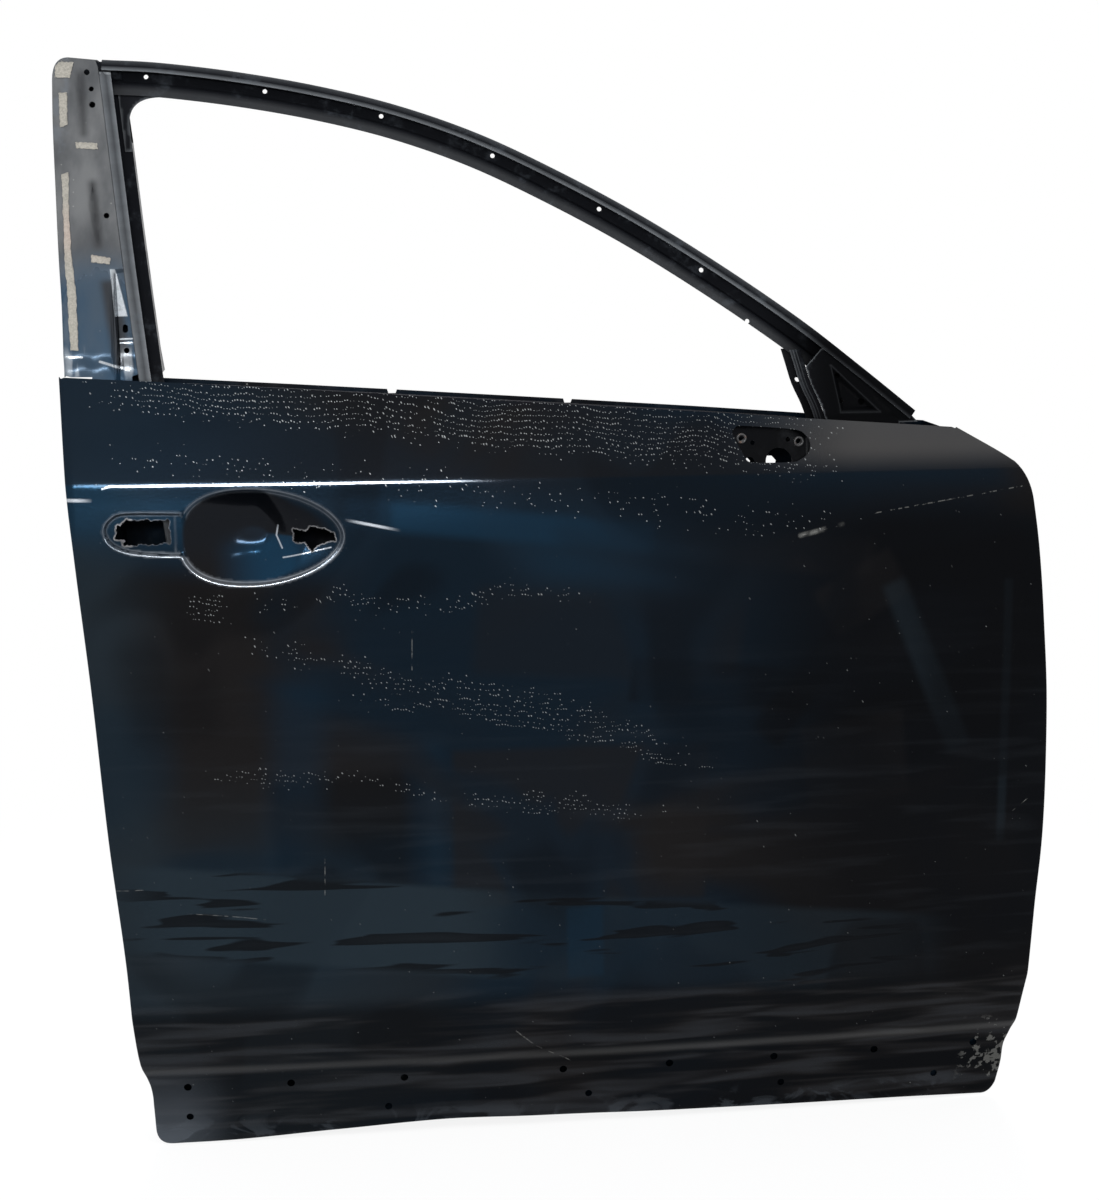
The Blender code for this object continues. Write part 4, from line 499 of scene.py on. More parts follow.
def skin_profile():
    """Section of the skin over z: straight foot, curved body and shoulder, its creases eased by a Gaussian."""
    body = smooth(BODY, 0.02)
    shoulder = smooth([(Z_LINE, 0.0), *SHOULDER], 0.02)
    line = np.vstack([np.array(FOOT)[:-1], body, shoulder[1:]])
    z = np.arange(-0.05, 1.32, 0.001)
    y = np.interp(z, line[:, 0], line[:, 1])
    y[z < line[0, 0]] = line[0, 1] + (z[z < line[0, 0]] - line[0, 0]) * (FOOT[1][1] - FOOT[0][1]) / 0.1
    last = line[-1] - line[-2]
    y[z > line[-1, 0]] = line[-1, 1] + (z[z > line[-1, 0]] - line[-1, 0]) * last[1] / last[0]
    reach = np.arange(-12, 13) * 0.001
    weight = np.exp(-(reach / CREASE_EASE) ** 2 / 2)
    eased = np.convolve(np.pad(y, 12, "reflect", reflect_type="odd"), weight / weight.sum(), "valid")
    return z, eased


PROFILE_Z, PROFILE_Y = skin_profile()


def skin_y(x, z):
    """Height of the plain skin: its section over z and a crown of one radius over x."""
    return np.interp(z, PROFILE_Z, PROFILE_Y) + (x - CROWN_X) ** 2 / (2 * CROWN_RADIUS) - SKIN_DEPTH


def scoop_ring(scale, sides=120):
    """The scoop's outline shrunk to its centre: blunt at the lock, drawn out to the front."""
    turn = 2 * math.pi * np.arange(sides) / sides
    c, s = np.cos(turn), np.sin(turn)
    power = np.where(c > 0, 2 / SCOOP_POWERS[0], 2 / SCOOP_POWERS[1])
    reach = np.where(c > 0, SCOOP_FRONT, SCOOP_REAR)
    return np.stack([SCOOP_CENTRE[0] + scale * reach * np.sign(c) * np.abs(c) ** power,
                     SCOOP_CENTRE[1] + scale * SCOOP_HALF_HEIGHT * np.sign(s) * np.abs(s) ** power], 1)


def scoop_depth(x, z):
    """Depth of the scoop: a quarter sine from its rim to its flat bottom, the rim eased by a small radius.

    In front it runs out on a shallow land with a soft step.
    """
    dx, dz = x - SCOOP_CENTRE[0], (z - SCOOP_CENTRE[1]) / SCOOP_HALF_HEIGHT
    power = np.where(dx > 0, *SCOOP_POWERS)
    reach = np.where(dx > 0, SCOOP_FRONT, SCOOP_REAR)
    ring = (np.abs(dx / reach) ** power + np.abs(dz) ** power) ** (1 / power)
    inward = np.clip(1 - ring, 0, None)
    inward = np.sqrt(inward ** 2 + RIM_EASE ** 2) - RIM_EASE
    bowl = np.sin(math.pi / 2 * np.clip(inward / 0.86, 0, 1)) ** 0.9
    land = ease(x + 0.35 * np.abs(z - SCOOP_CENTRE[1]), SCOOP_LAND_X[0], SCOOP_LAND_X[1])
    return bowl * (SCOOP_DEPTH + (SCOOP_LAND_DEPTH - SCOOP_DEPTH) * land)


def drawn(x, z, loop, depth, ramp):
    """Depth of a field drawn into a sheet: nothing at its loop, full a ramp further in, eased at both ends."""
    return depth * ease(depth_inside(x, z, loop), 0.0, ramp)


def skin_outline(step=0.006):
    """The skin's outline and the number of its points before the belt."""
    rear = smooth(REAR_EDGE, step)
    foot = round_corner(REAR_EDGE[-1], REAR_FOOT, BOTTOM_EDGE[0])
    bottom = smooth(BOTTOM_EDGE, step)
    toe = round_corner(BOTTOM_EDGE[-1], FRONT_FOOT, FRONT_EDGE[0])
    front = smooth(FRONT_EDGE, step)
    top = round_corner(FRONT_EDGE[-1], FRONT_SHOULDER, CHAMFER_EDGE[0])
    chamfer = smooth(CHAMFER_EDGE, step)
    hemmed = np.vstack([rear, foot, bottom, toe, front, top, chamfer])
    return np.vstack([hemmed, smooth(BELT_EDGE, step)[1:-1]]), len(hemmed)


OUTLINE, HEMMED = skin_outline()


# Folds pressed into the skin as (x, z, x, z, depth), and the waviness of a sheet that was pushed by hand
FOLDS = [(-0.4392, 0.2953, -0.3501, 0.2849, 0.0016), (-0.5144, 0.3255, -0.4700, 0.3240, 0.0014),
         (-0.4000, 0.3600, -0.3650, 0.3250, 0.0016), (0.470, 0.395, 0.540, 0.430, 0.0008)]
WAVINESS = 0.00010


def dent_depth(x, z):
    """Depth of the dents: smooth bowls with a pinched crease in the two big ones, faded out at the flange."""
    total = np.zeros_like(x)
    for cx, cz, half_x, half_z, depth in DENTS:
        total += depth * np.exp(-((x - cx) / half_x) ** 2 - ((z - cz) / half_z) ** 2)
    for x0, z0, x1, z1, depth in FOLDS:
        length = math.hypot(x1 - x0, z1 - z0)
        along = ((x - x0) * (x1 - x0) + (z - z0) * (z1 - z0)) / length ** 2
        across = ((x - x0) * (z1 - z0) - (z - z0) * (x1 - x0)) / length
        total += depth * np.exp(-(across / 0.006) ** 2 - ((along - 0.5) / 0.42) ** 4)
    fade = ease(depth_inside(x, z, OUTLINE), FLANGE_WIDTH, 2 * FLANGE_WIDTH)
    return total * np.where(depth_inside_far(x, z), 1.0, fade)


def depth_inside_far(x, z):
    """Whether points lie well inside the skin, where no distance to its edge is needed."""
    return (x > -0.45) & (x < 0.48) & (z > 0.06) & (z < 0.80)


# The lock pocket drawn on into the scoop, so that the two run into each other
LONG_POCKET = ccw(smooth([(x + 0.012 if x > -0.44 else x, z) for x, z in POCKET], 0.003))


def skin_height(x, z):
    """Height of the pressed skin: plain skin, scoop, lock pocket, dents and a faint waviness of hand-pushed sheet."""
    wave = (np.sin(x * 31 + 1.1) * np.sin(z * 27 + 0.4) + 0.6 * np.sin(x * 67 + z * 23)
            + 0.5 * np.sin(z * 71 - x * 19)) * WAVINESS
    low = np.exp(-((z - 0.03) / 0.035) ** 2) * 0.0012 * np.sin(x * 38 + 0.6) * np.exp(-((x + 0.12) / 0.22) ** 2)
    recess = np.maximum(scoop_depth(x, z), drawn(x, z, LONG_POCKET, POCKET_DEPTH, POCKET_RAMP * 0.7))
    return (skin_y(x, z) + recess
            + dent_depth(x, z) + wave * ease(z, 0.0, 0.1) * (1 - ease(z, 0.84, 0.86)) + low)


def turned_edge(loop, count, height, profile):
    """Rails along the first points of a loop, each one inset and set back from height(x, z) as the profile says."""
    rails = []
    for inwards, back in profile:
        at = inset(loop, inwards)[:count]
        rails.append(np.stack([at[:, 0], height(at[:, 0], at[:, 1]) + back, at[:, 1]], 1))
    return lofted(rails)


def roll(radius, angle, steps):
    """Profile of an edge turned inwards about a radius by an angle, as (inset, depth)."""
    turn = np.linspace(0, angle, steps + 1)
    return [(radius - radius * math.sin(t), radius - radius * math.cos(t)) for t in turn]


def along_line(line, section, step, base, flat=False, holes=(), gap=0.0012):
    """A section carried along a line of (x, z), with holes given in (length along, length across).

    The sheet is filled in those two lengths and then carried: x and z go along the line and across it (or along
    x if flat) by the section's first value, and y is base(x, z, across) plus the section's second value.
    """
    run, over = lengths(line), lengths(section)
    columns = np.linspace(0, run[-1], max(2, math.ceil(run[-1] / step) + 1))
    rows = split_long(over[:, None], 0.006).ravel()
    border = np.vstack([np.stack([columns, np.zeros_like(columns)], 1),
                        np.stack([np.full(len(rows) - 2, run[-1]), rows[1:-1]], 1),
                        np.stack([columns[::-1], np.full_like(columns, over[-1])], 1),
                        np.stack([np.zeros(len(rows) - 2), rows[-2:0:-1]], 1)])
    inner = lattice(columns[1:-1], rows[1:-1])
    for hole in holes:
        low, high = hole.min(0) - gap, hole.max(0) + gap
        inner = thinned(inner, (low[0], low[1], high[0], high[1]))
    flat_points, faces = fill(border, holes, (), [(inner, 1e-5)])
    s, t = flat_points.T
    along = np.gradient(line, run, axis=0)
    along /= np.linalg.norm(along, axis=1)[:, None]
    dx, dz = np.interp(s, run, along[:, 0]), np.interp(s, run, along[:, 1])
    length = np.hypot(dx, dz)
    across, depth = np.interp(t, over, section[:, 0]), np.interp(t, over, section[:, 1])
    way = (1.0, 0.0) if flat else (dz / length, -dx / length)
    x = np.interp(s, run, line[:, 0]) + across * way[0]
    z = np.interp(s, run, line[:, 1]) + across * way[1]
    return np.stack([x, base(x, z, across) + depth, z], 1), faces, flat_points


def outwards(points, faces, count=None):
    """The triangles, turned round if their first ones (or, without a count, all of them) look towards +Y."""
    a, b, c = points[faces[:count]].transpose(1, 0, 2)
    return faces[:, ::-1] if np.cross(b - a, c - a)[:, 1].sum() > 0 else faces


def on_section(section, across, low, high):
    """Length along a section at which its first value is across, looked for between two depths."""
    over = lengths(section)
    t = np.linspace(0, over[-1], 4000)
    u, depth = np.interp(t, over, section[:, 0]), np.interp(t, over, section[:, 1])
    fits = (depth >= low) & (depth <= high)
    return float(t[fits][np.argmin(np.abs(u[fits] - across))])


def revolved(profile, centre, sides=32):
    """A ring turned about an axis along Y through its centre (x, z), from a closed profile of (radius, y)."""
    turn = 2 * math.pi * np.arange(sides + 1) / sides
    rails = [np.stack([centre[0] + r * np.cos(turn), np.full_like(turn, y), centre[1] + r * np.sin(turn)], 1)
             for r, y in [*profile, profile[0]]]
    points, faces = joined(lofted(rails))
    a, b, c = points[faces].transpose(1, 0, 2)
    volume = (a * np.cross(b, c)).sum()
    return points, faces if volume > 0 else faces[:, ::-1]


# Shader maths
class Value:
    """A socket of a material that adds, multiplies and compares as a Python number does."""

    def __init__(self, graph, socket):
        self.graph = graph
        self.socket = socket

    def other(self, name):
        """Another output of the same node."""
        return Value(self.graph, self.socket.node.outputs[name])

    def _math(self, operation, *values, flip=False):
        """A Math node on this value and the others, in the other order if flipped."""
        values = (self, *values)
        if flip:
            values = values[::-1]
        return self.graph.node("Math", {"operation": operation}, dict(enumerate(values)))

    def __add__(self, value):
        return self._math("ADD", value)

    __radd__ = __add__

    def __sub__(self, value):
        return self._math("SUBTRACT", value)

    def __rsub__(self, value):
        return self._math("SUBTRACT", value, flip=True)

    def __mul__(self, value):
        return self._math("MULTIPLY", value)

    __rmul__ = __mul__

    def __truediv__(self, value):
        return self._math("DIVIDE", value)

    def __rtruediv__(self, value):
        return self._math("DIVIDE", value, flip=True)

    def __pow__(self, value):
        return self._math("POWER", value)

    def __abs__(self):
        return self._math("ABSOLUTE")

    def most(self, value):
        """The larger of the two."""
        return self._math("MAXIMUM", value)

    def least(self, value):
        """The smaller of the two."""
        return self._math("MINIMUM", value)

    def clear(self):
        """The value kept between nothing and one."""
        return self.most(0.0).least(1.0)

    def rise(self, low, high):
        """Nothing below low, one above high, smooth between."""
        return self.graph.node("MapRange", {"interpolation_type": "SMOOTHSTEP"}, {0: self, 1: low, 2: high})

    def fall(self, low, high):
        """One below low, nothing above high, smooth between."""
        return 1 - self.rise(low, high)

    def within(self, low, high, soft):
        """One between two values, with soft ends."""
        return self.rise(low - soft, low + soft) * self.fall(high - soft, high + soft)


class Graph:
    """The nodes of one material. A flat one reads its patterns from (x, z) alone, which is quicker to render."""

    def __init__(self, name, flat=False):
        self.material = bpy.data.materials.new(name)
        self.material.use_nodes = True
        self.tree = self.material.node_tree
        self.tree.nodes.clear()
        self.where = self.node("TexCoord").other("Object")
        self.x = self.node("SeparateXYZ", {}, {0: self.where})
        self.y, self.z = self.x.other("Y"), self.x.other("Z")
        self.kind = "2D" if flat else "3D"
        self.field = self.node("CombineXYZ", {}, {0: self.x, 1: self.z}) if flat else self.where

    def node(self, kind, settings=(), sockets=(), output=0):
        """A node of a kind: its settings are set first, then its sockets' values or links."""
        made = self.tree.nodes.new("ShaderNode" + kind)
        for key, value in dict(settings).items():
            setattr(made, key, value)
        for key, value in dict(sockets).items():
            if isinstance(value, Value):
                self.tree.links.new(value.socket, made.inputs[key])
            else:
                made.inputs[key].default_value = value
        return Value(self, made.outputs[output])

    def blend(self, factor, first, second):
        """A colour between two colours."""
        colours = [c if isinstance(c, Value) else (*c, 1.0) for c in (first, second)]
        return self.node("Mix", {"data_type": "RGBA"}, {0: factor, 6: colours[0], 7: colours[1]}, 2)

    def placed(self, stretch, shift):
        """The piece's own place, stretched and shifted."""
        return self.node("Mapping", {}, {"Vector": self.field, "Location": shift, "Scale": stretch})

    def noise(self, scale, detail=3.0, stretch=(1.0, 1.0, 1.0), shift=(0.0, 0.0, 0.0), rough=0.55, twist=0.0):
        """Cloudy noise over the piece."""
        return self.node("TexNoise", {"noise_dimensions": self.kind},
                         {"Vector": self.placed(stretch, shift), "Scale": scale, "Detail": detail,
                          "Roughness": rough, "Distortion": twist})

    def cells(self, scale, shift=(0.0, 0.0, 0.0)):
        """Distance to the nearest of many scattered spots, and two random numbers for each spot."""
        away = self.node("TexVoronoi", {"voronoi_dimensions": self.kind},
                         {"Vector": self.placed((1.0, 1.0, 1.0), shift), "Scale": scale})
        luck = self.node("SeparateColor", {}, {0: away.other("Color")})
        return away, luck, luck.other("Green")

    def dotted_rows(self, along, up, pitch, gap):
        """Marks in wavering rows: distance to the nearest one in metres, and two random numbers for each mark."""
        at = self.node("CombineXYZ", {}, {0: along / pitch, 1: up / gap})
        near = self.node("TexVoronoi", {"voronoi_dimensions": "2D"}, {"Vector": at, "Scale": 1.0, "Randomness": 0.4})
        off = self.node("VectorMath", {"operation": "SUBTRACT"}, {0: near.other("Position"), 1: at})
        off = self.node("SeparateXYZ", {}, {0: off})
        dx, dz = off * pitch, off.other("Y") * gap
        luck = self.node("SeparateColor", {}, {0: near.other("Color")})
        return (dx * dx + dz * dz) ** 0.5, luck, luck.other("Green")

    @staticmethod
    def specks(cells, size, share):
        """Small round marks in a share of the cells, each with its own radius; size is a share of a cell."""
        away, luck, other = cells
        return (1 - away / (size * (0.45 + 0.55 * other))).rise(0.0, 0.5) * luck.fall(share - 0.01, share)

    def mark(self, name):
        """A value that the piece's points carry."""
        return self.node("Attribute", {"attribute_name": name}).other("Fac")

    def facing(self, axis):
        """How far the surface looks along an axis: one straight along it, minus one straight against it."""
        return self.node("SeparateXYZ", {}, {0: self.node("NewGeometry").other("Normal")}).other(axis)

    def pane(self, centre, half_width, half_height, lean, soft):
        """One inside a leaning rectangle over (x, z) with soft edges; lean is in degrees."""
        c, s = math.cos(math.radians(lean)), math.sin(math.radians(lean))
        dx, dz = self.x - centre[0], self.z - centre[1]
        across, up = abs(dx * c + dz * s), abs(dz * c - dx * s)
        return across.fall(half_width - soft, half_width + soft) * up.fall(half_height - soft, half_height + soft)

    def streak(self, start, end, width):
        """One on a straight mark between two places (x, z), fading to nothing at its width."""
        dx, dz = end[0] - start[0], end[1] - start[1]
        size = dx * dx + dz * dz
        at = (((self.x - start[0]) * dx + (self.z - start[1]) * dz) / size).clear()
        px = self.x - start[0] - at * dx
        pz = self.z - start[1] - at * dz
        return ((px * px + pz * pz) ** 0.5).fall(width * 0.3, width)

    def finish(self, constants, links, bump=None, strength=0.1, distance=0.001):
        """The material with a surface shader that has constants and links on its sockets, and a bump."""
        sockets = {**constants, **links}
        if bump is not None:
            sockets["Normal"] = self.node("Bump", {}, {"Height": bump, "Strength": strength, "Distance": distance})
        return self.surface(self.node("BsdfPrincipled", {}, sockets))

    def surface(self, shader):
        """The material with this shader as its surface."""
        end = self.tree.nodes.new("ShaderNodeOutputMaterial")
        self.tree.links.new(shader.socket, end.inputs[0])
        return self.material


def kept(name, make, *values):
    """The material of that name, made once."""
    return bpy.data.materials.get(name) or make(name, *values)


# Painted reflections on the skin: broad soft fields of tone as (centre, half width, half height, lean in degrees,
# softness, share, shade)
SKIN_REFLECTION_PANES = [((0.010, 0.385), 0.146, 0.095, 0.0, 0.006, 0.80, "paint_brown"),
              ((-0.250, 0.370), 0.085, 0.085, 3.0, 0.012, 0.75, "paint_black"),
              ((-0.310, 0.450), 0.028, 0.120, -4.0, 0.022, 0.40, "paint_blue"),
              ((-0.165, 0.400), 0.020, 0.090, 2.0, 0.014, 0.30, "paint_blue"),
              ((0.040, 0.610), 0.150, 0.050, -4.0, 0.010, 0.45, "paint_brown"),
              ((0.185, 0.545), 0.120, 0.026, -6.0, 0.006, 0.85, "paint_black"),
              ((0.300, 0.585), 0.022, 0.130, -38.0, 0.008, 0.85, "paint_black"),
              ((0.330, 0.450), 0.060, 0.052, 8.0, 0.006, 0.55, "paint_brown"),
              ((0.330, 0.650), 0.050, 0.030, 30.0, 0.006, 0.45, "paint_brown"),
              ((0.410, 0.560), 0.014, 0.110, 24.0, 0.006, 0.40, "paint_haze"),
              ((0.508, 0.500), 0.005, 0.160, 2.0, 0.003, 0.35, "paint_haze"),
              ((-0.445, 0.560), 0.050, 0.060, 8.0, 0.020, 0.45, "paint_black"),
              ((-0.080, 0.735), 0.170, 0.016, -6.0, 0.008, 0.50, "paint_bright"),
              ((0.230, 0.700), 0.110, 0.020, -6.0, 0.010, 0.50, "paint_brown")]


# Marks on the skin as (start, end, width): scratches, and painted highlights on the ledges in front of the scoop
SCRATCHES = [((0.2588, 0.7170), (0.3038, 0.7269), 0.0006), ((-0.1794, 0.6206), (-0.1800, 0.5762), 0.0008),
             ((-0.2807, 0.3609), (-0.2819, 0.3123), 0.0008), ((-0.4392, 0.2953), (-0.3501, 0.2849), 0.0007),
             ((-0.5144, 0.3255), (-0.4846, 0.3245), 0.0008), ((-0.0661, 0.1362), (-0.0440, 0.1150), 0.0011),
             ((-0.0440, 0.1150), (0.0009, 0.0861), 0.0008), ((0.5180, 0.3700), (0.5480, 0.3950), 0.0007)]
LEDGES = [((-0.3225, 0.7365), (-0.3245, 0.7250), 0.0013), ((-0.3245, 0.7250), (-0.3185, 0.7125), 0.0013),
          ((-0.3175, 0.7030), (-0.2655, 0.7150), 0.0011)]

# Rows of dried drops as (start, end, width, share of drops)
DROP_ROWS = [((-0.333, 0.664), (0.007, 0.645), 0.014, 0.50), ((-0.372, 0.610), (0.076, 0.4915), 0.018, 0.50),
             ((-0.139, 0.517), (0.164, 0.452), 0.007, 0.80), ((-0.389, 0.454), (0.090, 0.400), 0.012, 0.55),
             ((-0.250, 0.545), (0.120, 0.480), 0.007, 0.70)]


class SkinGraph(Graph):
    """The skin's material: noises made once, and a method for each layer of its look."""

    def __init__(self, name):
        super().__init__(name, flat=True)
        self.colours = bpy.context.scene.door_colours
        self.cloud = self.noise(3.0, 2.0, (1.0, 1.4, 1.0), (0.3, 0.1, 0.0), 0.5, 0.7)
        self.patch = self.noise(4.5, 1.0, (1.3, 1.0, 1.0), (0.2, 0.7, 0.0), 0.45, 0.6)
        self.grime = self.noise(17.0, 3.0, (1.0, 1.7, 1.0), (0.2, 0.4, 0.0), 0.62, 0.6)
        self.fine = self.noise(110.0, 2.0)
        self.shape = self.patch.rise(0.46, 0.56)
        self.lean = self.z + self.x * 0.11
        self.outside = self.facing("Y").fall(-0.25, 0.25)

    def fields(self):
        """Painted reflections: broad blue, hazed, brown and black fields with soft edges; and the mask of the dull
        grey shoulder.
        """
        c, x, z, cloud, lean = self.colours, self.x, self.z, self.cloud, self.lean
        tone = self.blend(cloud.rise(0.35, 0.65), c.paint_navy, c.paint_brown)
        rear = (x.fall(-0.34, 0.02) * z.fall(0.22, 0.50) + x.fall(-0.52, -0.42)).clear()
        tone = self.blend((rear * (0.25 + 0.75 * cloud)).clear(), tone, c.paint_haze)
        front = x.rise(0.06, 0.36) * z.fall(0.72, 0.80) * (1.3 - cloud * 0.8)
        tone = self.blend(front.clear(), tone, c.paint_black)
        for *field, share, shade in SKIN_REFLECTION_PANES:
            tone = self.blend(self.pane(*field) * (0.25 + 0.50 * self.shape) * share, tone, getattr(c, shade))
        tone = self.blend((self.patch.fall(0.34, 0.46) * x.fall(0.10, 0.40) * 0.4).clear(), tone, c.paint_black)
        # Painted reflection: a blue band under the belt crease, and blue along the crease itself
        blue = lean.within(0.655, 0.765, 0.03) * x.fall(-0.02, 0.26) * (cloud - 0.30).rise(0.05, 0.35)
        top = (x.fall(-0.50, -0.20) * 0.9 + lean.rise(0.862, 0.895) * 0.35).clear()
        tone = self.blend(blue.most(z.rise(0.772, 0.790) * top) * 0.8, tone, c.paint_blue)
        # Painted reflection: the shoulder above the crease darkened, brown low down and navy towards the belt
        upper = z.rise(0.7835, 0.7875)
        tone = self.blend(upper * 0.45, tone, self.blend(lean.rise(0.845, 0.885), c.paint_brown, c.paint_navy))
        grey = upper * x.rise(0.16, 0.34)
        return self.blend(grey * z.rise(0.780, 0.815) * 0.75, tone, c.paint_grey), grey

    def recess(self, tone):
        """The tone with painted shade in the handle recess, and a painted bright blue reflection where its floor
        looks up.
        """
        c, cup = self.colours, self.mark("cup")
        # Painted shade inside the recess
        dark = self.blend(self.cloud.rise(0.40, 0.60), c.paint_black, c.paint_brown)
        # Painted reflection where the recess's floor looks up
        bright = cup * self.facing("Z").rise(0.02, 0.40) * self.x.rise(-0.40, -0.33)
        return self.blend(bright * 0.8, self.blend(cup * 0.85, tone, dark), c.paint_bright)

    def gleams(self):
        """Highlights on the belt crease and on the ledges of the handle recess."""
        x = self.x
        gleam = self.streak((-0.5560, 0.7700), (-0.5200, 0.7690), 0.0026) * x.fall(-0.538, -0.514)
        gleam = gleam.most(self.streak((-0.2520, 0.7450), (-0.1850, 0.7310), 0.0022)
                           * x.within(-0.238, -0.202, 0.014))
        gleam = gleam.most(self.streak((-0.5070, 0.7812), (-0.4990, 0.7838), 0.0014))
        gleam = gleam.most(self.streak((-0.4990, 0.7838), (-0.0800, 0.7838), 0.0015) * x.fall(-0.24, -0.07))
        for ledge in LEDGES:
            gleam = gleam.most(self.streak(*ledge) * 0.8)
        return gleam

    def road_dirt_and_reflections(self, tone):
        """The tone with painted reflections low down, partly smeared road dirt, and painted shade on the foot; and
        the mask of its dust.
        """
        c, x, z, lean = self.colours, self.x, self.z, self.lean
        drag = self.noise(15.0, 2.0, (0.30, 3.6, 1.0), (0.5, 0.2, 0.0), 0.6, 0.25)
        # Painted reflections in a low band: a pale smear that is partly dirt, a blue patch and dark streaks
        low = lean.within(0.196, 0.300, 0.006) * x.within(-0.50, 0.42, 0.05)
        tone = self.blend(low * (x.fall(-0.16, -0.04) * 0.7 + 0.15 + 0.2 * self.shape), tone, c.paint_haze)
        tone = self.blend(self.pane((0.016, 0.243), 0.021, 0.042, 1.0, 0.004) * 0.30, tone, c.paint_blue)
        tone = self.blend(low * drag.rise(0.555, 0.60) * 0.85, tone, c.paint_black)
        # Painted shade on the foot below the sill, which faces down
        foot = z.fall(0.165, 0.195)
        tone = self.blend(foot * 0.75, tone, self.blend(drag.rise(0.40, 0.60), c.paint_black, c.paint_brown))
        film = (foot * drag.rise(0.50, 0.70) * 0.16 + (drag - 0.52).clear() * z.fall(0.35, 0.70) * 0.4).clear()
        corner = z.fall(0.02, 0.12) * x.fall(-0.46, -0.38) + z.fall(0.004, 0.045) * self.grime.rise(0.50, 0.62) * 0.6
        film = (film * 0.35 + corner * 0.35).clear() * self.outside
        return self.blend(film, tone, c.dust), film

    def drops(self):
        """Mask of the dried drops: small marks in wavering rows, thick on the shoulder."""
        x, z, lean, patch, grime = self.x, self.z, self.lean, self.patch, self.grime
        near, luck, other = self.dotted_rows(x + z * 0.37, lean + patch * 0.035 + grime * 0.008, 0.0030, 0.0062)
        rows = lean.within(0.812, 0.872, 0.012) * x.within(-0.50, 0.27, 0.05)
        rows = rows * (0.30 + grime * 0.80 + self.shape * 0.25)
        for start, end, width, share in DROP_ROWS:
            slope = (end[1] - start[1]) / (end[0] - start[0])
            away = abs(z - start[1] - (x - start[0]) * slope - (patch - 0.5) * 0.05 - (grime - 0.5) * 0.03)
            rows = rows.most(away.fall(width * 0.2, width) * x.within(start[0], end[0], 0.03) * share)
        rows = rows.most(lean.within(0.745, 0.776, 0.010) * x.within(-0.49, 0.30, 0.05) * 0.16)
        rows = rows.most(x.within(-0.418, -0.382, 0.006) * z.within(0.634, 0.666, 0.006) * 0.75)
        return (1 - near / (0.0004 + 0.0007 * other)).rise(0.0, 0.6) * (rows - luck).rise(-0.01, 0.01) * self.outside

    def scars(self):
        """Mask of the scratches and scuffs."""
        x, z, fine, grime = self.x, self.z, self.fine, self.grime
        scars = self.streak(*SCRATCHES[0])
        for mark in SCRATCHES[1:]:
            scars = scars.most(self.streak(*mark))
        dashed = self.streak((0.3421, 0.7393), (0.5218, 0.7660), 0.0009) * fine.rise(0.50, 0.56)
        scuffs = x.within(0.485, 0.545, 0.01) * z.within(0.0, 0.11, 0.01)
        scuffs = scuffs * (fine * 0.6 + grime * 0.5).rise(0.60, 0.66)
        smudge = self.streak((0.2560, 0.7165), (0.3045, 0.7275), 0.0040) * grime.rise(0.42, 0.60)
        scars = scars * fine.rise(0.40, 0.65) * 0.5 + dashed * 0.45 + scuffs * 0.40 + smudge * 0.50
        return scars.clear() * self.outside


def skin_paint(name):
    """Dark metallic paint over the skin, from large to small.

    Painted reflections as blue, hazed, brown-black and black fields with soft edges; painted shade and reflection in
    the handle recess; painted reflections and smeared road dirt low down; rows of dried drops; scratches and scuffs;
    painted highlights on the creases and the recess's edges; bare metal round the torn openings.
    """
    g = SkinGraph(name)
    c, fine = g.colours, g.fine
    tone, grey = g.fields()
    tone, film = g.road_dirt_and_reflections(g.recess(tone))
    drops, scars = g.drops(), g.scars()
    tone = g.blend(drops * 0.62, tone, c.drop)
    tone = g.blend(scars * 0.45, tone, c.scratch)
    # Painted highlights on the recess's edges and seam, on the belt crease and on the ledges, outside only
    glint = (g.mark("glint") * (0.5 + fine * 0.6)).most(g.gleams() * 0.95).clear() * g.outside
    tone = g.blend(glint, tone, c.glint)
    bare = (g.mark("bare") * (0.7 + fine * 0.6)).rise(0.35, 0.70)
    tone = g.blend(bare, tone, g.blend(fine, c.steel, c.shell_black))
    dull = (film * 0.7 + drops * 0.4 + scars + bare * 0.5 + grey * 0.45).clear()
    return g.finish({"Specular IOR Level": 0.05, "Coat Roughness": 0.04},
                    {"Base Color": tone, "Roughness": 0.14 + dull * 0.40, "Metallic": (0.72 - dull * 0.5).clear(),
                     "Coat Weight": (0.05 - dull * 0.2).clear()},
                    g.noise(300.0, 1.0), 0.05, 0.0008)


def pressed_paint(name, colour, second, metallic=0.35, rough=0.38, dust=0.35):
    """Body paint or primer on a pressing: clouded colour, dust in patches, fine marks and a fine peel."""
    c = bpy.context.scene.door_colours
    g = Graph(name)
    cloud = g.noise(9.0, 4.0, shift=(0.4, 0.2, 0.0), twist=0.4)
    fine = g.noise(130.0, 4.0)
    grime = g.noise(28.0, 4.0, shift=(0.0, 0.6, 0.3), rough=0.65).rise(0.50, 0.78)
    tone = g.blend(cloud.rise(0.35, 0.65), tuple(colour), tuple(second))
    tone = g.blend(grime * dust, tone, c.dust)
    spots = g.specks(g.cells(110.0), 0.13, 0.14)
    tone = g.blend(spots * 0.40, tone, c.scratch)
    return g.finish({"Specular IOR Level": 0.08},
                    {"Base Color": tone, "Roughness": rough + grime * 0.22 + (fine - 0.5) * 0.10,
                     "Metallic": metallic - grime * metallic * 0.6},
                    fine, 0.08, 0.001)


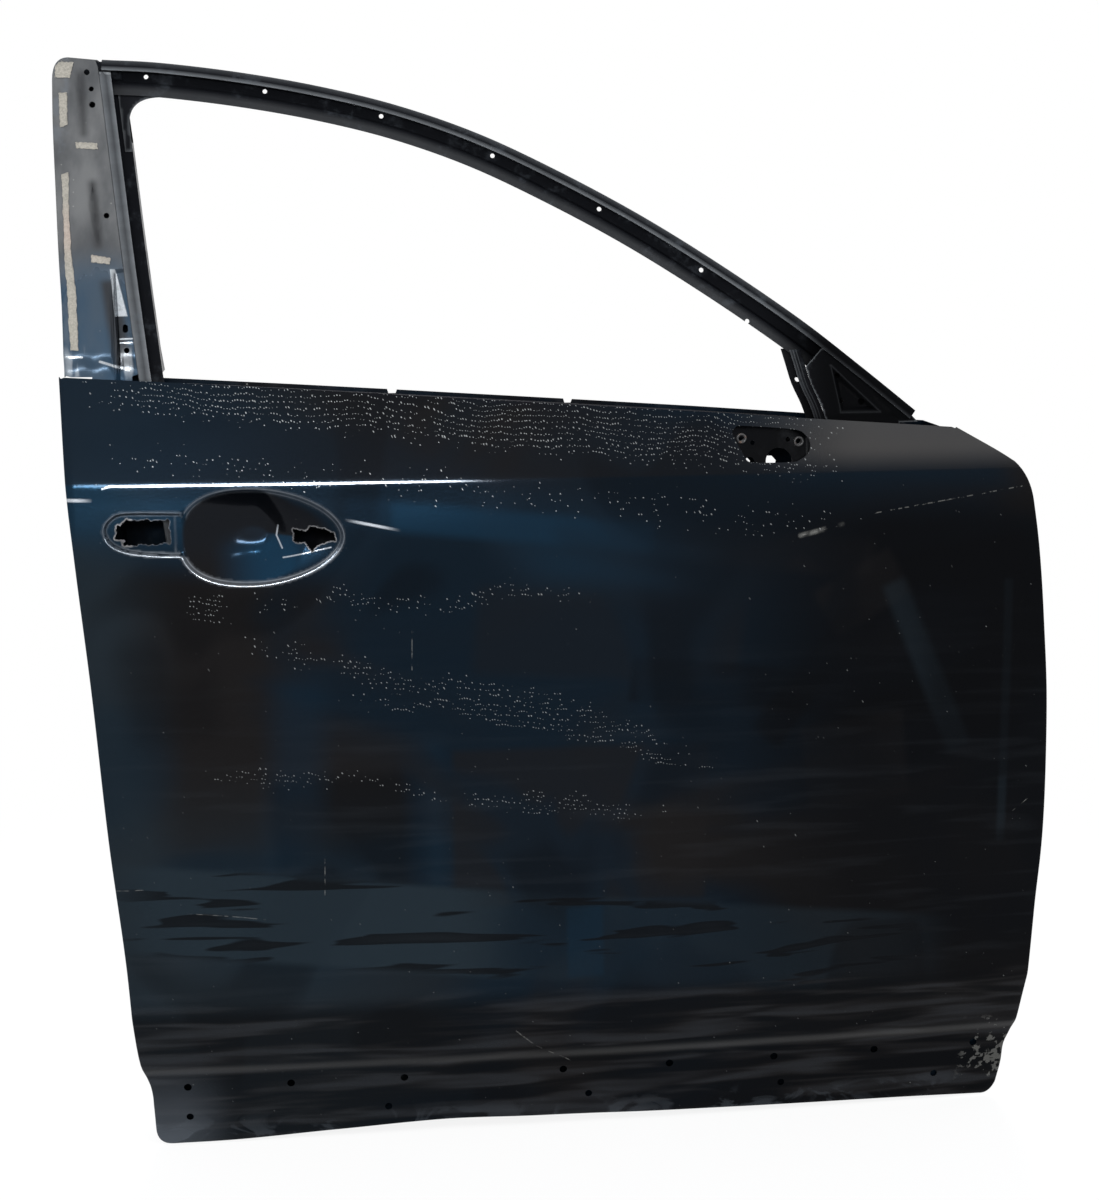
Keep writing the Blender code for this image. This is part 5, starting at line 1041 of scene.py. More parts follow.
def rail_primer(name):
    """Satin primer on rails: grey with long streaks, painted highlights and wear on lips, painted shade and dust in
    the run.
    """
    c = bpy.context.scene.door_colours
    g = Graph(name)
    rubbed, deep = g.mark("rubbed"), g.mark("deep")
    cloud = g.noise(14.0, 4.0, (1.0, 1.0, 1.0), (0.2, 0.0, 0.3))
    streaks = g.noise(40.0, 4.0, (0.5, 1.0, 1.4), (0.0, 0.4, 0.0), 0.6)
    fine = g.noise(220.0, 3.0)
    tone = g.blend((cloud * 0.6 + streaks * 0.5 - 0.1).clear(), c.primer_dark, c.primer)
    # Dark shell paint on backs and black pieces, and painted shade in the run's channel and groove
    tone = g.blend(deep, tone, c.shell_black)
    # Painted highlights on lips and ridges, partly rubbed bright metal
    tone = g.blend((rubbed * (0.5 + streaks * 0.8)).clear() * 0.85, tone, c.rubbed)
    dusty = g.noise(36.0, 4.0, rough=0.7).rise(0.52, 0.72) * (0.12 + deep * 0.06)
    tone = g.blend(dusty, tone, c.dust)
    tone = g.blend(g.x.rise(0.215, 0.300) * (1 - rubbed * 0.5).clear(), tone, c.front_black)
    return g.finish({"Specular IOR Level": 0.02},
                    {"Base Color": tone, "Roughness": 0.42 + streaks * 0.12 + dusty * 0.3 - rubbed * 0.12,
                     "Metallic": (0.28 + rubbed * 0.5 - deep * 0.22).clear()},
                    streaks + fine * 0.6, 0.10, 0.001)


def pillar_primer(name):
    """Primer on the pillar plate: mid grey above, glossy blue paint towards the belt, painted shade in its hollows
    and painted highlights at its foot.
    """
    c = bpy.context.scene.door_colours
    g = Graph(name)
    x, z = g.x, g.z
    cloud = g.noise(16.0, 4.0, (1.6, 1.0, 0.7), (0.1, 0.0, 0.2))
    fine = g.noise(240.0, 3.0)
    mist = (z + (cloud - 0.5) * 0.05).fall(0.985, 1.035)
    tone = g.blend(cloud.rise(0.3, 0.7), c.primer_dark, c.primer)
    tone = g.blend(mist * 0.92, tone, g.blend(cloud.rise(0.30, 0.75), c.pillar_foot, c.paint_bright))
    # Painted highlight in wavy lines along the foot
    run_out = g.noise(30.0, 3.0, (2.0, 1.0, 0.35), (0.0, 0.0, 0.9))
    glint = z.within(0.897, 0.925, 0.008) * (run_out - 0.5).rise(0.02, 0.12)
    # Painted shade in the two spindles and beside the recess
    painted_hollow_shade = g.pane((-0.5100, 1.068), 0.0042, 0.036, 5.0, 0.0050).most(
        g.pane((-0.5240, 1.186), 0.0040, 0.036, 3.0, 0.0050) * 0.8)
    painted_hollow_shade = painted_hollow_shade.most(g.pane((-0.4890, 0.952), 0.0095, 0.048, 8.0, 0.005))
    tone = g.blend(painted_hollow_shade * 0.90, tone, c.hollow_shade)
    # Painted highlights on the flat facet by the recess and on the ribs and joggle at the foot, partly scratched bare
    # metal
    left = (x + 0.4954 - (1.011 - z) * 0.088).rise(0.0, 0.0010)
    right = (x + 0.4901 - (1.011 - z) * 0.248).fall(-0.0004, 0.0010)
    rim = (left * right * z.within(0.9610, 1.0105, 0.0008)).most(
        g.streak((-0.4865, 0.9370), (-0.4725, 0.9375), 0.0013)).most(
        g.streak((-0.4865, 0.9330), (-0.4725, 0.9335), 0.0009))
    rim = rim.most(g.streak((-0.5430, 0.9190), (-0.5260, 0.9185), 0.0016))
    rim = rim.most(g.streak((-0.5070, 0.9137), (-0.4770, 0.9040), 0.0020))
    tone = g.blend((glint * 0.45 + rim * (0.5 + fine)).clear() * 0.9, tone, c.rubbed)
    glue = x.fall(-0.541, -0.536) * (g.noise(45.0, 4.0, (1.0, 1.0, 0.6)) - 0.47).rise(0.0, 0.12)
    tone = g.blend(glue * 0.35, tone, c.dust)
    spots = g.specks(g.cells(150.0), 0.15, 0.22)
    tone = g.blend(spots * 0.35, tone, c.scratch)
    return g.finish({"Specular IOR Level": 0.3},
                    {"Base Color": tone, "Roughness": 0.45 - mist * 0.2 + (cloud - 0.5) * 0.1,
                     "Metallic": 0.2 + mist * 0.3 + rim * 0.3},
                    fine + cloud, 0.08, 0.001)


def worn_steel(name, colour, metallic=0.8, rough=0.42):
    """Bare or blackened steel: brushed along its length, spotted and lightly rusted."""
    c = bpy.context.scene.door_colours
    g = Graph(name)
    cloud = g.noise(24.0, 5.0, rough=0.6)
    brush = g.noise(90.0, 2.0, (0.25, 1.0, 4.0))
    rust = (g.noise(60.0, 5.0, shift=(0.3, 0.3, 0.3), rough=0.7) - 0.58).rise(0.0, 0.12)
    dark = tuple(v * 0.6 for v in colour)
    tone = g.blend((cloud * 0.7 + brush * 0.3).rise(0.3, 0.7), dark, tuple(colour))
    tone = g.blend(rust * 0.45, tone, c.rust)
    return g.finish({"Specular IOR Level": 0.4},
                    {"Base Color": tone, "Roughness": rough + (cloud - 0.5) * 0.2 + rust * 0.3,
                     "Metallic": metallic - rust * metallic * 0.8},
                    brush + cloud, 0.10, 0.001)


def torn_foam(name):
    """Old adhesive foam: mottled beige and grey with open cells, darker where its skin is left."""
    c = bpy.context.scene.door_colours
    g = Graph(name)
    cloud = g.noise(480.0, 3.0, rough=0.7)
    skin = g.noise(75.0, 4.0, shift=(0.6, 0.0, 0.1), rough=0.65).rise(0.46, 0.56)
    holes = g.cells(900.0)[0]
    pink = g.z.within(1.03, 1.07, 0.02) * 0.25
    tone = g.blend(cloud.rise(0.35, 0.65) * 0.40, c.foam, c.foam_dark)
    tone = g.blend(skin * 0.10, tone, c.foam_dark)
    tone = g.blend(pink, tone, c.foam_pink)
    return g.finish({"Specular IOR Level": 0.2}, {"Base Color": tone, "Roughness": 0.85 + cloud * 0.1},
                    cloud * 1.5 + holes.clear(), 0.3, 0.0008)


def soft_mastic(name):
    """Rubbery mastic: dark grey, wrinkled and slightly greasy."""
    c = bpy.context.scene.door_colours
    g = Graph(name)
    cloud = g.noise(80.0, 4.0)
    tone = g.blend(cloud, c.mastic_dark, c.mastic)
    return g.finish({"Specular IOR Level": 0.35}, {"Base Color": tone, "Roughness": 0.55 + cloud * 0.3},
                    g.noise(160.0, 3.0), 0.4, 0.0015)


# Sizes and colours that a user may change
def length(name, description, default, low=0.0, high=0.1):
    """A length property in metres."""
    return FloatProperty(name=name, description=description, default=default, min=low, max=high,
                         subtype="DISTANCE", unit="LENGTH", precision=5)


def colour(name, description, default):
    """A linear colour property."""
    return FloatVectorProperty(name=name, description=description, default=default, size=3, min=0.0, max=1.0,
                               subtype="COLOR")


class DoorSizes(bpy.types.PropertyGroup):
    """Sizes of the door's sheets and the fineness of their grids."""

    gauge: length("Sheet gauge", "Thickness of the skin and the pressings", SHEET, 0.0003, 0.003)
    hem_radius: length("Hem radius", "Outer radius of the fold round the skin", HEM_PITCH / 2, 0.001, 0.004)
    hem_width: length("Hem width", "Width of the lip folded behind the skin", HEM_WIDTH, 0.004, 0.02)
    bend_radius: length("Bend radius", "Radius of the bends in the rails", 0.0014, 0.0005, 0.004)
    ragged: length("Ragged edge", "How far the edges of the two torn openings wander", 0.0016, 0.0, 0.004)
    column: length("Grid column", "Width of a grid cell on the skin", 0.0085, 0.004, 0.03)
    row: length("Grid row", "Height of a grid cell on the skin", 0.0052, 0.003, 0.03)
    fine_row: length("Fine grid", "Size of a grid cell round the handle recess", 0.0021, 0.001, 0.01)
    rail_step: length("Rail step", "Length of a facet along the rails", 0.008, 0.003, 0.03)


class DoorColours(bpy.types.PropertyGroup):
    """Colours of the door's paints, metals and dirt, and of the reflections, shade and highlights painted on it."""

    paint_navy: colour("Navy paint", "Main colour of the skin", (0.0030, 0.0080, 0.0145))
    # Painted reflection of dark surroundings on the skin; also painted shade in the handle recess and on the foot
    paint_brown: colour("Brown paint", "Brown-black tone in the middle of the skin", (0.0080, 0.0074, 0.0078))
    # Black paint of the mirror plate; on the skin a painted dark reflection, and painted shade in the recess and on
    # the foot
    paint_black: colour("Black paint", "Darkest tone, at the front of the skin", (0.0013, 0.0016, 0.0024))
    paint_blue: colour("Blue paint", "Bluer tone where the paint catches light", (0.0035, 0.0180, 0.0360))
    # Painted reflection on the skin and in the handle recess where they look up; also a tone of the pillar's blue
    # foot
    paint_bright: colour("Bright paint", "Brightest blue, where the skin looks up", (0.0060, 0.0330, 0.0680))
    # Painted pale reflection on the skin, partly smeared dirt in the low band
    paint_haze: colour("Hazed paint", "Greyer blue low at the rear of the skin", (0.0125, 0.0205, 0.0280))
    paint_grey: colour("Dull paint", "Dulled paint on the front of the shoulder", (0.055, 0.053, 0.052))
    primer: colour("Primer", "Light tone of the satin primer", (0.100, 0.103, 0.106))
    # Painted shade in the pillar plate's spindles and beside its recess
    hollow_shade: colour("Primer in hollows", "Primer in the drawn fields", (0.018, 0.019, 0.021))
    primer_dark: colour("Dark primer", "Dark tone of the satin primer", (0.040, 0.043, 0.047))
    front_black: colour("Front corner paint", "Black of the window's front corner", (0.0012, 0.0013, 0.0016))
    shell_black: colour("Shell paint", "Thin dark paint inside the shell", (0.0045, 0.0050, 0.0065))
    # Painted highlight on lips, edges and ridges, partly rubbed bright metal
    rubbed: colour("Rubbed edge", "Bright metal on rubbed edges", (0.42, 0.45, 0.48))
    steel: colour("Bare steel", "Torn or uncoated steel", (0.17, 0.17, 0.175))
    rust: colour("Rust", "Light rust on uncoated steel", (0.16, 0.075, 0.035))
    foam: colour("Foam", "Old adhesive foam", (0.30, 0.285, 0.25))
    foam_dark: colour("Dark foam", "Foam in its cells and where it is dirty", (0.105, 0.100, 0.090))
    foam_pink: colour("Faded foam", "Foam faded to pink in the middle of the long tape", (0.42, 0.28, 0.24))
    mastic: colour("Mastic", "Light tone of the mastic", (0.13, 0.125, 0.12))
    mastic_dark: colour("Dark mastic", "Dark tone of the mastic", (0.05, 0.05, 0.05))
    pillar_foot: colour("Pillar foot", "Blue overspray at the foot of the pillar", (0.034, 0.055, 0.080))
    dust: colour("Dust", "Road dust and dried mud", (0.10, 0.115, 0.135))
    drop: colour("Dried drop", "Edges of dried drops", (0.26, 0.27, 0.27))
    # Painted highlight on the edges of the handle recess, on its ledges and on the belt crease
    glint: colour("Glint", "Polished edges of the handle recess", (0.40, 0.43, 0.47))
    scratch: colour("Scratch", "Bottom of a scratch", (0.34, 0.34, 0.32))
    floor: colour("Floor", "Studio floor", (0.93, 0.93, 0.93))


def shell_finish():
    """Thin blue-black paint inside the shell."""
    c = bpy.context.scene.door_colours
    return kept("shell_paint", pressed_paint, tuple(c.paint_navy), tuple(c.shell_black), 0.4, 0.30, 0.06)


def black_finish():
    """Black coat on the reinforcements."""
    c = bpy.context.scene.door_colours
    return kept("black_coat", pressed_paint, tuple(c.shell_black), tuple(v * 1.8 for v in c.shell_black), 0.15, 0.5)


def rail(name, points, faces, rubbed, deep, behind, node):
    """A rail with marks on its points: painted highlight and wear on its lips, dark paint and painted shade in its
    run; behind is the highlight's share on its back.
    """
    points, faces = thick(points, faces, bpy.context.scene.door_sizes.gauge)
    marks = {"rubbed": np.concatenate([rubbed, rubbed * behind]),
             "deep": np.concatenate([deep, np.ones_like(deep)])}
    piece(name, points, faces, kept("rail_primer", rail_primer), [node], marks)


# Skin: box (x, z, x, z) of the fine grid round its handle, its seam there, the width of the painted highlights on
# its edges, and the rows of grid points on each crease as (height, spacing)
HANDLE_BOX = (-0.520, 0.666, -0.243, 0.782)
HANDLE_SEAM = [(-0.4325, 0.7100), (-0.4325, 0.7525)]
GLINT_WIDTH = 0.0007
CREASE_ROWS = [(Z_RECESS, 0.0018), (Z_STEP, 0.0018), (Z_SILL, 0.002), (Z_LINE, 0.0012)]
CREASE_REACH = 0.0085

# Turned edges: how many of their first triangles tell which way they look
FIRST_RAILS = 40

# Pillar plate: radius of its turned edge, ramps and grid, and its slot as (x, z, width, height, corner radius)
PLATE_ROLL = 0.0015
SPINDLE_RAMP = 0.0055
PILLAR_RECESS_RAMP = 0.0050
PILLAR_GRID = 0.0030
PILLAR_SLOT = (-0.480, 0.9480, 0.0056, 0.0088, 0.0026)

# Front run: its hole as (z, across) and the hole's radius
FRONT_RUN_HOLE = (0.885, -0.0100)
RUN_HOLE_RADIUS = 0.0026

# Corner pressing, gusset, mirror plate and tapes: ramp and grids
CORNER_RECESS_RAMP = 0.0062
CORNER_GRID = 0.0024
GUSSET_GRID = 0.003
MIRROR_GRID = 0.0020
TAPE_GRID = 0.0013


# The pieces
class DoorSkin(bpy.types.Operator):
    """Skin: a crowned sheet with its creases, handle recess, openings, holes, dents and a rolled hem"""

    bl_idname = "door.skin"
    bl_label = "Skin"

    def execute(self, context):
        sizes = context.scene.door_sizes
        radius = sizes.hem_radius
        clips = [circle(CLIP_ROW_START + d, CLIP_ROW_Z, CLIP_RADIUS) for d in CLIP_ROW_PITCHES]
        clips += [circle(x, z, LOW_CLIP_RADIUS) for x, z in LOW_CLIPS]
        lock = torn(ccw(LOCK_OPENING), sizes.ragged, 5)
        grip = torn(ccw(GRIP_OPENING), sizes.ragged, 11)
        mirror = resampled(closed(smooth(closed(ccw(MIRROR_OPENING)), 0.004)[:-1]), 0.004)[:-1]
        outline = np.vstack([inset(OUTLINE, radius)[:HEMMED], OUTLINE[HEMMED:]])
        rows = np.arange(0.004, 0.90, sizes.row)
        for crease, step in CREASE_ROWS:
            rows = rows[np.abs(rows - crease) > CREASE_REACH + 0.0005]
            rows = np.concatenate([rows, np.arange(crease - CREASE_REACH, crease + CREASE_REACH + 0.0001, step)])
        left, low, right, high = HANDLE_BOX
        coarse = thinned(lattice(np.arange(-0.553, 0.57, sizes.column), np.sort(rows)), HANDLE_BOX)
        fine = lattice(np.arange(left, right + 0.001, sizes.fine_row), np.arange(low, high, sizes.fine_row))
        folds = np.vstack([lattice(np.linspace(x0 - 0.01, x1 + 0.01, 16),
                                   np.linspace(min(z0, z1) - 0.014, max(z0, z1) + 0.014, 12))
                           for x0, z0, x1, z1, _ in FOLDS])
        rings = [ccw(scoop_ring(1.0)), inset(ccw(scoop_ring(1.0)), 0.0036)]
        pocket_foot = inset(LONG_POCKET, 0.0034)
        lines = [closed(inset(rings[0], d)) for d in (-0.0009, 0.0, 0.0009, 0.0028, 0.0036, 0.0044)]
        for d in (-0.0008, 0.0, 0.0008, 0.0032):
            loop = inset(LONG_POCKET, d)
            lines.append(ccw_open(loop[loop[:, 0] < SCOOP_CENTRE[0] - 0.0745]))
        flat, faces = fill(outline, clips + [lock, grip, mirror], lines,
                           [(fine, 0.0010), (coarse, 0.0026), (folds, 0.0012)])
        lip = [(w, 2 * radius) for w in (radius + 0.003, sizes.hem_width)]
        hem, hem_faces = turned_edge(OUTLINE, HEMMED, skin_height, roll(radius, math.pi, 7) + lip)
        points, faces = joined((lifted(flat, skin_height), faces), (hem, outwards(hem, hem_faces, FIRST_RAILS)))
        count = len(points)
        points, faces = thick(points, faces, sizes.gauge)
        marks = {name: np.zeros(len(points)) for name in ("bare", "glint", "cup")}
        box_x, box_z = points[:, 0], points[:, 2]
        near = np.flatnonzero((box_x < -0.24) & (box_z > 0.665) & (box_z < 0.79))
        spots = points[near][:, [0, 2]]
        x, z = spots.T
        bare, glint = np.zeros(len(near)), np.zeros(len(near))
        torn_end = np.where((x < -0.478) | (x > -0.32), 1.0, 0.55)
        for loop, reach in ((lock, 0.0032), (grip, 0.0024)):
            bare = np.maximum(bare, (1 - ease(distance_to(spots, closed(loop)), 0.0004, reach)) * torn_end)
        # Painted highlights along the rims of scoop and pocket and the seam, brighter low down, hidden where one
        # recess lies in the other
        below = 0.30 + 0.70 * (1 - ease(z, 0.705, 0.722))
        for line, share, hidden in ((closed(rings[0]), 1.0, LONG_POCKET), (closed(rings[1]), 0.55, LONG_POCKET),
                                    (closed(LONG_POCKET), 0.9, rings[0]), (closed(pocket_foot), 0.5, rings[0]),
                                    (np.array(HANDLE_SEAM), 0.6, None)):
            mark = share * below * np.exp(-(distance_to(spots, line) / GLINT_WIDTH) ** 2)
            if hidden is not None:
                mark = np.where(is_inside(spots, hidden), 0.0, mark)
            glint = np.maximum(glint, mark)
        marks["bare"][near], marks["glint"][near] = bare, glint
        marks["bare"][count:] *= 0.5
        # How far into the scoop each point lies; it sets the painted shade and reflection in the recess
        marks["cup"][near] = ease(scoop_depth(x, z), 0.0008, 0.0045)
        piece("skin", points, faces, kept("skin_paint", skin_paint), ["outer_panel"], marks)
        return {"FINISHED"}


class DoorHeader(bpy.types.Operator):
    """Header over the window: outer rail with lip, run channel, flange and holes, and the inner rail behind it"""

    bl_idname = "door.header"
    bl_label = "Header rails"

    def execute(self, context):
        sizes = context.scene.door_sizes
        line = smooth(HEADER_EDGE, 0.012)
        run = lengths(line)
        spots = [HEADER_HOLE_START + k * HEADER_HOLE_PITCH for k in range(HEADER_HOLE_COUNT)]
        nearest = np.argmin(np.linalg.norm(line - HEADER_EDGE_HOLE, axis=1))
        edge_run = float(run[nearest])
        edge_over = float(np.linalg.norm(np.array(HEADER_EDGE_HOLE) - line[nearest]))
        base = lambda x, z, across: skin_y(x, z)

        section = rounded(HEADER_SECTION, sizes.bend_radius)
        seat = on_section(section, HEADER_HOLE_ACROSS, 0.0195, 0.0205)
        side = on_section(section, edge_over, 0.0, 0.0155)
        holes = [circle(s, seat, HEADER_HOLE_RADIUS) for s in spots] + [circle(edge_run, side, HEADER_HOLE_RADIUS)]
        points, faces, flat = along_line(line, section, sizes.rail_step, base, False, holes)
        faces = outwards(points, faces)
        # Painted highlights on the lip's edge and its fold; dark paint and painted shade in the channel and on the
        # inner flange
        lip = np.exp(-(flat[:, 1] / 0.0010) ** 2) + np.exp(-((flat[:, 1] - 0.0104) / 0.0016) ** 2) * 0.4
        deep = ease(flat[:, 1], 0.0115, 0.0125) * (1 - 0.30 * ease(flat[:, 1], 0.056, 0.058)) * 0.98
        rail("header_rail_face", points, faces, lip, deep, 0.3, "header_rail_outer")

        section = rounded(HEADER_BOX, sizes.bend_radius)
        seat = on_section(section, HEADER_HOLE_ACROSS, 0.0415, 0.0425)
        side = on_section(section, edge_over, 0.0, 0.016)
        holes = [circle(s, seat, HEADER_ACCESS_RADIUS, 26) for s in spots]
        holes.append(circle(edge_run, side, HEADER_HOLE_RADIUS * 1.15))
        points, faces, flat = along_line(line, section, sizes.rail_step, base, False, holes)
        faces = outwards(points, faces)
        # Painted highlight on its edge; dark paint, partly painted shade, all over
        lip = np.exp(-(flat[:, 1] / 0.0010) ** 2) * 0.4
        rail("header_rail_back", points, faces, lip, np.full(len(points), 0.6), 0.3, "header_rail_inner")
        return {"FINISHED"}


class DoorPillar(bpy.types.Operator):
    """Pillar plate: a sheet with two drawn spindles, a recess, holes, ripples at its foot and a turned edge"""

    bl_idname = "door.pillar"
    bl_label = "Pillar plate"

    @staticmethod
    def height(x, z):
        """Height of the pillar plate: the skin's own surface, set back at its foot, with its drawn fields."""
        depth = PILLAR_JOGGLE * (1 - ease(z, *PILLAR_JOGGLE_Z))
        for spindle in PILLAR_SPINDLES:
            depth = depth + drawn(x, z, ccw(spindle), SPINDLE_DEPTH, SPINDLE_RAMP)
        depth = depth + drawn(x, z, ccw(PILLAR_RECESS), PILLAR_RECESS_DEPTH, PILLAR_RECESS_RAMP)
        ribs = np.exp(-((z - 0.9360 - 0.3 * (x + 0.479)) / 0.0016) ** 2) * np.exp(-((x + 0.479) / 0.0085) ** 4)
        foot = 0.0006 * np.sin(x * 260) * np.exp(-((z - 0.9120) / 0.007) ** 2)
        return skin_y(x, z) + depth - 0.0012 * ribs + foot

    @staticmethod
    def edge():
        """Rear and top edge of the plate, from its foot up and forward."""
        rear = smooth(PILLAR_REAR, 0.008)
        return np.vstack([rear, round_corner(PILLAR_REAR[-1], PILLAR_TOP_CORNER, PILLAR_TOP[0]),
                          split_long(np.array(PILLAR_TOP), 0.008)])

    def execute(self, context):
        sizes = context.scene.door_sizes
        edge = self.edge()
        count = len(edge)
        left, right, foot = PILLAR_TAB
        base_z = PILLAR_REAR[0][1]
        tail = np.array([PILLAR_TOP[-1], PILLAR_FRONT[1], (right, base_z), (right, foot), (left, foot),
                         (left, base_z), PILLAR_REAR[0]])
        loop = np.vstack([edge, split_long(tail, 0.008)[1:-1]])[::-1]
        first = len(loop) - count
        turned = np.roll(loop, -first, 0)
        outline = np.vstack([inset(turned, PLATE_ROLL)[:count], turned[count:]])
        holes = [circle(x, z, r) for x, z, r in PILLAR_HOLES if abs(z - PILLAR_SLOT[1]) > 0.001]
        holes.append(rounded_box(*PILLAR_SLOT, 5))
        lines = [closed(ccw(loop)) for loop in (*PILLAR_SPINDLES, PILLAR_RECESS)]
        lines.append(closed(inset(ccw(PILLAR_RECESS), 0.0045)))
        spots = lattice(np.arange(-0.558, -0.44, PILLAR_GRID), np.arange(0.81, 1.24, PILLAR_GRID))
        flat, faces = fill(outline, holes, lines, [(spots, 0.0012)])
        rim, rim_faces = turned_edge(turned, count, self.height,
                                     [*roll(PLATE_ROLL, math.pi / 2, 4), (0.0, 0.010), (0.0, PILLAR_FLANGE)])
        rim_faces = outwards(rim, rim_faces, FIRST_RAILS)
        points, faces = thick(*joined((lifted(flat, self.height), faces), (rim, rim_faces)), sizes.gauge)
        piece("pillar_plate", points, faces, kept("pillar_primer", pillar_primer), ["pillar_panel"])
        return {"FINISHED"}


class DoorRuns(bpy.types.Operator):
    """Glass runs: two channels carried down from the header, with painted highlights on the lip and painted shade in
    the groove
    """

    bl_idname = "door.runs"
    bl_label = "Glass runs"

    @staticmethod
    def upright(top):
        """A base height that follows the skin above a level and stands upright below it."""
        return lambda x, z, across: skin_y(x, np.maximum(z, top))

    def execute(self, context):
        sizes = context.scene.door_sizes
        line = split_long(smooth([RUN_TOPS[0]] + REAR_RUN_LINE, 0.01), 0.01)
        self.run("rear_run", line, rounded(np.array(REAR_RUN_SECTION), sizes.bend_radius),
                 self.upright(RUN_LEVEL_Z), "rear_run_channel", True)
        line = split_long(smooth([RUN_TOPS[1]] + FRONT_RUN_LINE, 0.008), 0.008)
        self.run("front_run", line, rounded(FRONT_RUN_SECTION, 0.0010),
                 self.upright(FRONT_RUN_LEVEL_Z), "front_run_channel", False, [FRONT_RUN_HOLE])
        return {"FINISHED"}

    @staticmethod
    def run(name, line, section, base, node, bright, holes=()):
        """One channel with painted highlights on its lips and ridges, and a dark groove that is partly painted shade;
        holes are given as (z, across).
        """
        step = bpy.context.scene.door_sizes.rail_step
        places = [circle(float(np.interp(-z, -line[:, 1], lengths(line))),
                         on_section(section, across, 0.0195, 0.0205), RUN_HOLE_RADIUS) for z, across in holes]
        points, faces, flat = along_line(line, section, step, base, True, places)
        t = flat[:, 1]
        if bright:
            # Painted highlights and wear on the lip; painted shade in the groove beyond it
            rubbed = (np.exp(-(t / 0.0012) ** 2) + 0.8 * np.exp(-((t - 0.0118) / 0.0012) ** 2)
                      + 0.55 * (t < 0.0125))
            deep = ease(t, 0.0120, 0.0126)
        else:
            # Painted highlights on its three ridges; dark shell paint all over
            rubbed = sum(np.exp(-((t - place) / 0.0006) ** 2) for place in (0.0, 0.0036, 0.0072)) * 0.9
            deep = np.full(len(t), 0.9)
        rail(name, points, outwards(points, faces), rubbed, deep, 0.2, node)


class DoorCorners(bpy.types.Operator):
    """Corners of the window: rounded web behind the pillar and triangular pressing in front"""

    bl_idname = "door.corners"
    bl_label = "Window corners"

    @staticmethod
    def front_height(x, z):
        """Height of the front pressing: behind the header, set back at its foot, with its triangular recess."""
        recess = drawn(x, z, ccw(CORNER_RECESS), CORNER_RECESS_DEPTH, CORNER_RECESS_RAMP)
        rib = 0.0014 * np.exp(-((z - 0.862 + 0.9 * (x - 0.352)) / 0.0022) ** 2) * ease(x, 0.342, 0.350)
        crown = 0.0009 * np.exp(-((x - 0.331) / 0.008) ** 2 - ((z - 0.861) / 0.008) ** 2)
        return (skin_y(x, z) + CORNER_PANEL_DEPTH + CORNER_JOGGLE * (1 - ease(z, *CORNER_JOGGLE_Z)) + recess
                - rib - crown)

    def execute(self, context):
        sizes = context.scene.door_sizes
        channel = [(x + SHEET, z) for x, z in smooth(FRONT_RUN_LINE, 0.006) if z > CORNER_PANEL_FOOT_Z]
        foot = (channel[-1][0] + SHEET, CORNER_PANEL_FOOT_Z)
        outline = split_long(closed(ccw(np.vstack([channel, [foot], CORNER_PANEL]))), 0.005)[:-1]
        recess = ccw(CORNER_RECESS)
        lines = [closed(inset(recess, d)) for d in (0.0, CORNER_RECESS_RAMP / 2, CORNER_RECESS_RAMP)]
        spots = lattice(np.arange(0.25, 0.42, CORNER_GRID), np.arange(0.80, 0.93, CORNER_GRID))
        holes = [circle(x, z, r) for x, z, r in CORNER_HOLES]
        flat, faces = fill(outline, holes, lines, [(spots, 0.0010)])
        points, faces = thick(lifted(flat, self.front_height), faces, sizes.gauge)
        # Painted highlights along the recess's edge and the plate's outline; black paint all over
        ridge = sum(np.exp(-(distance_to(points[:, ::2], closed(loop)) / 0.0007) ** 2) * share
                    for loop, share in ((recess, 0.22), (outline, 0.55)))
        ridge[len(flat):] *= 0.3
        piece("front_corner_plate", points, faces, kept("rail_primer", rail_primer), ["mirror_corner_panel"],
              {"rubbed": ridge, "deep": np.full(len(points), 0.96)})

        reach = REAR_RUN_SECTION[-1][0]
        front_x = lambda z: (PILLAR_FRONT[0][0] + (PILLAR_FRONT[1][0] - PILLAR_FRONT[0][0])
                             * (PILLAR_FRONT[0][1] - z) / (PILLAR_FRONT[0][1] - PILLAR_FRONT[1][1]))
        arc_z = GUSSET_TOP[0][1] - GUSSET_RADIUS
        start = (front_x(arc_z) + reach, arc_z)
        sharp = (front_x(GUSSET_TOP[0][1]) + reach, GUSSET_TOP[0][1])
        top = GUSSET_TOP[-1][1]
        outline = np.vstack([[(front_x(GUSSET_FOOT_Z) + reach - CLEAR, GUSSET_FOOT_Z), start],
                             round_corner(start, sharp, GUSSET_TOP[0], 20), GUSSET_TOP,
                             [(front_x(top) + reach - GUSSET_LAP, top),
                              (front_x(GUSSET_FOOT_Z) + reach - GUSSET_LAP, GUSSET_FOOT_Z)]])
        outline = ccw(split_long(closed(outline), 0.004)[:-1])
        spots = lattice(np.arange(-0.49, -0.40, GUSSET_GRID), np.arange(1.13, 1.20, GUSSET_GRID))
        flat, faces = fill(outline, (), (), [(spots, 0.0012)])
        points, faces = thick(lifted(flat, lambda x, z: skin_y(x, z) + GUSSET_DEPTH), faces, sizes.gauge)
        # Painted highlight along the web's edge; black paint all over
        edge = np.exp(-(distance_to(points[:, ::2], closed(outline)) / 0.0008) ** 2) * 0.15
        piece("rear_corner_web", points, faces, kept("rail_primer", rail_primer), ["corner_gusset"],
              {"rubbed": edge, "deep": np.full(len(points), 0.96)})
        return {"FINISHED"}


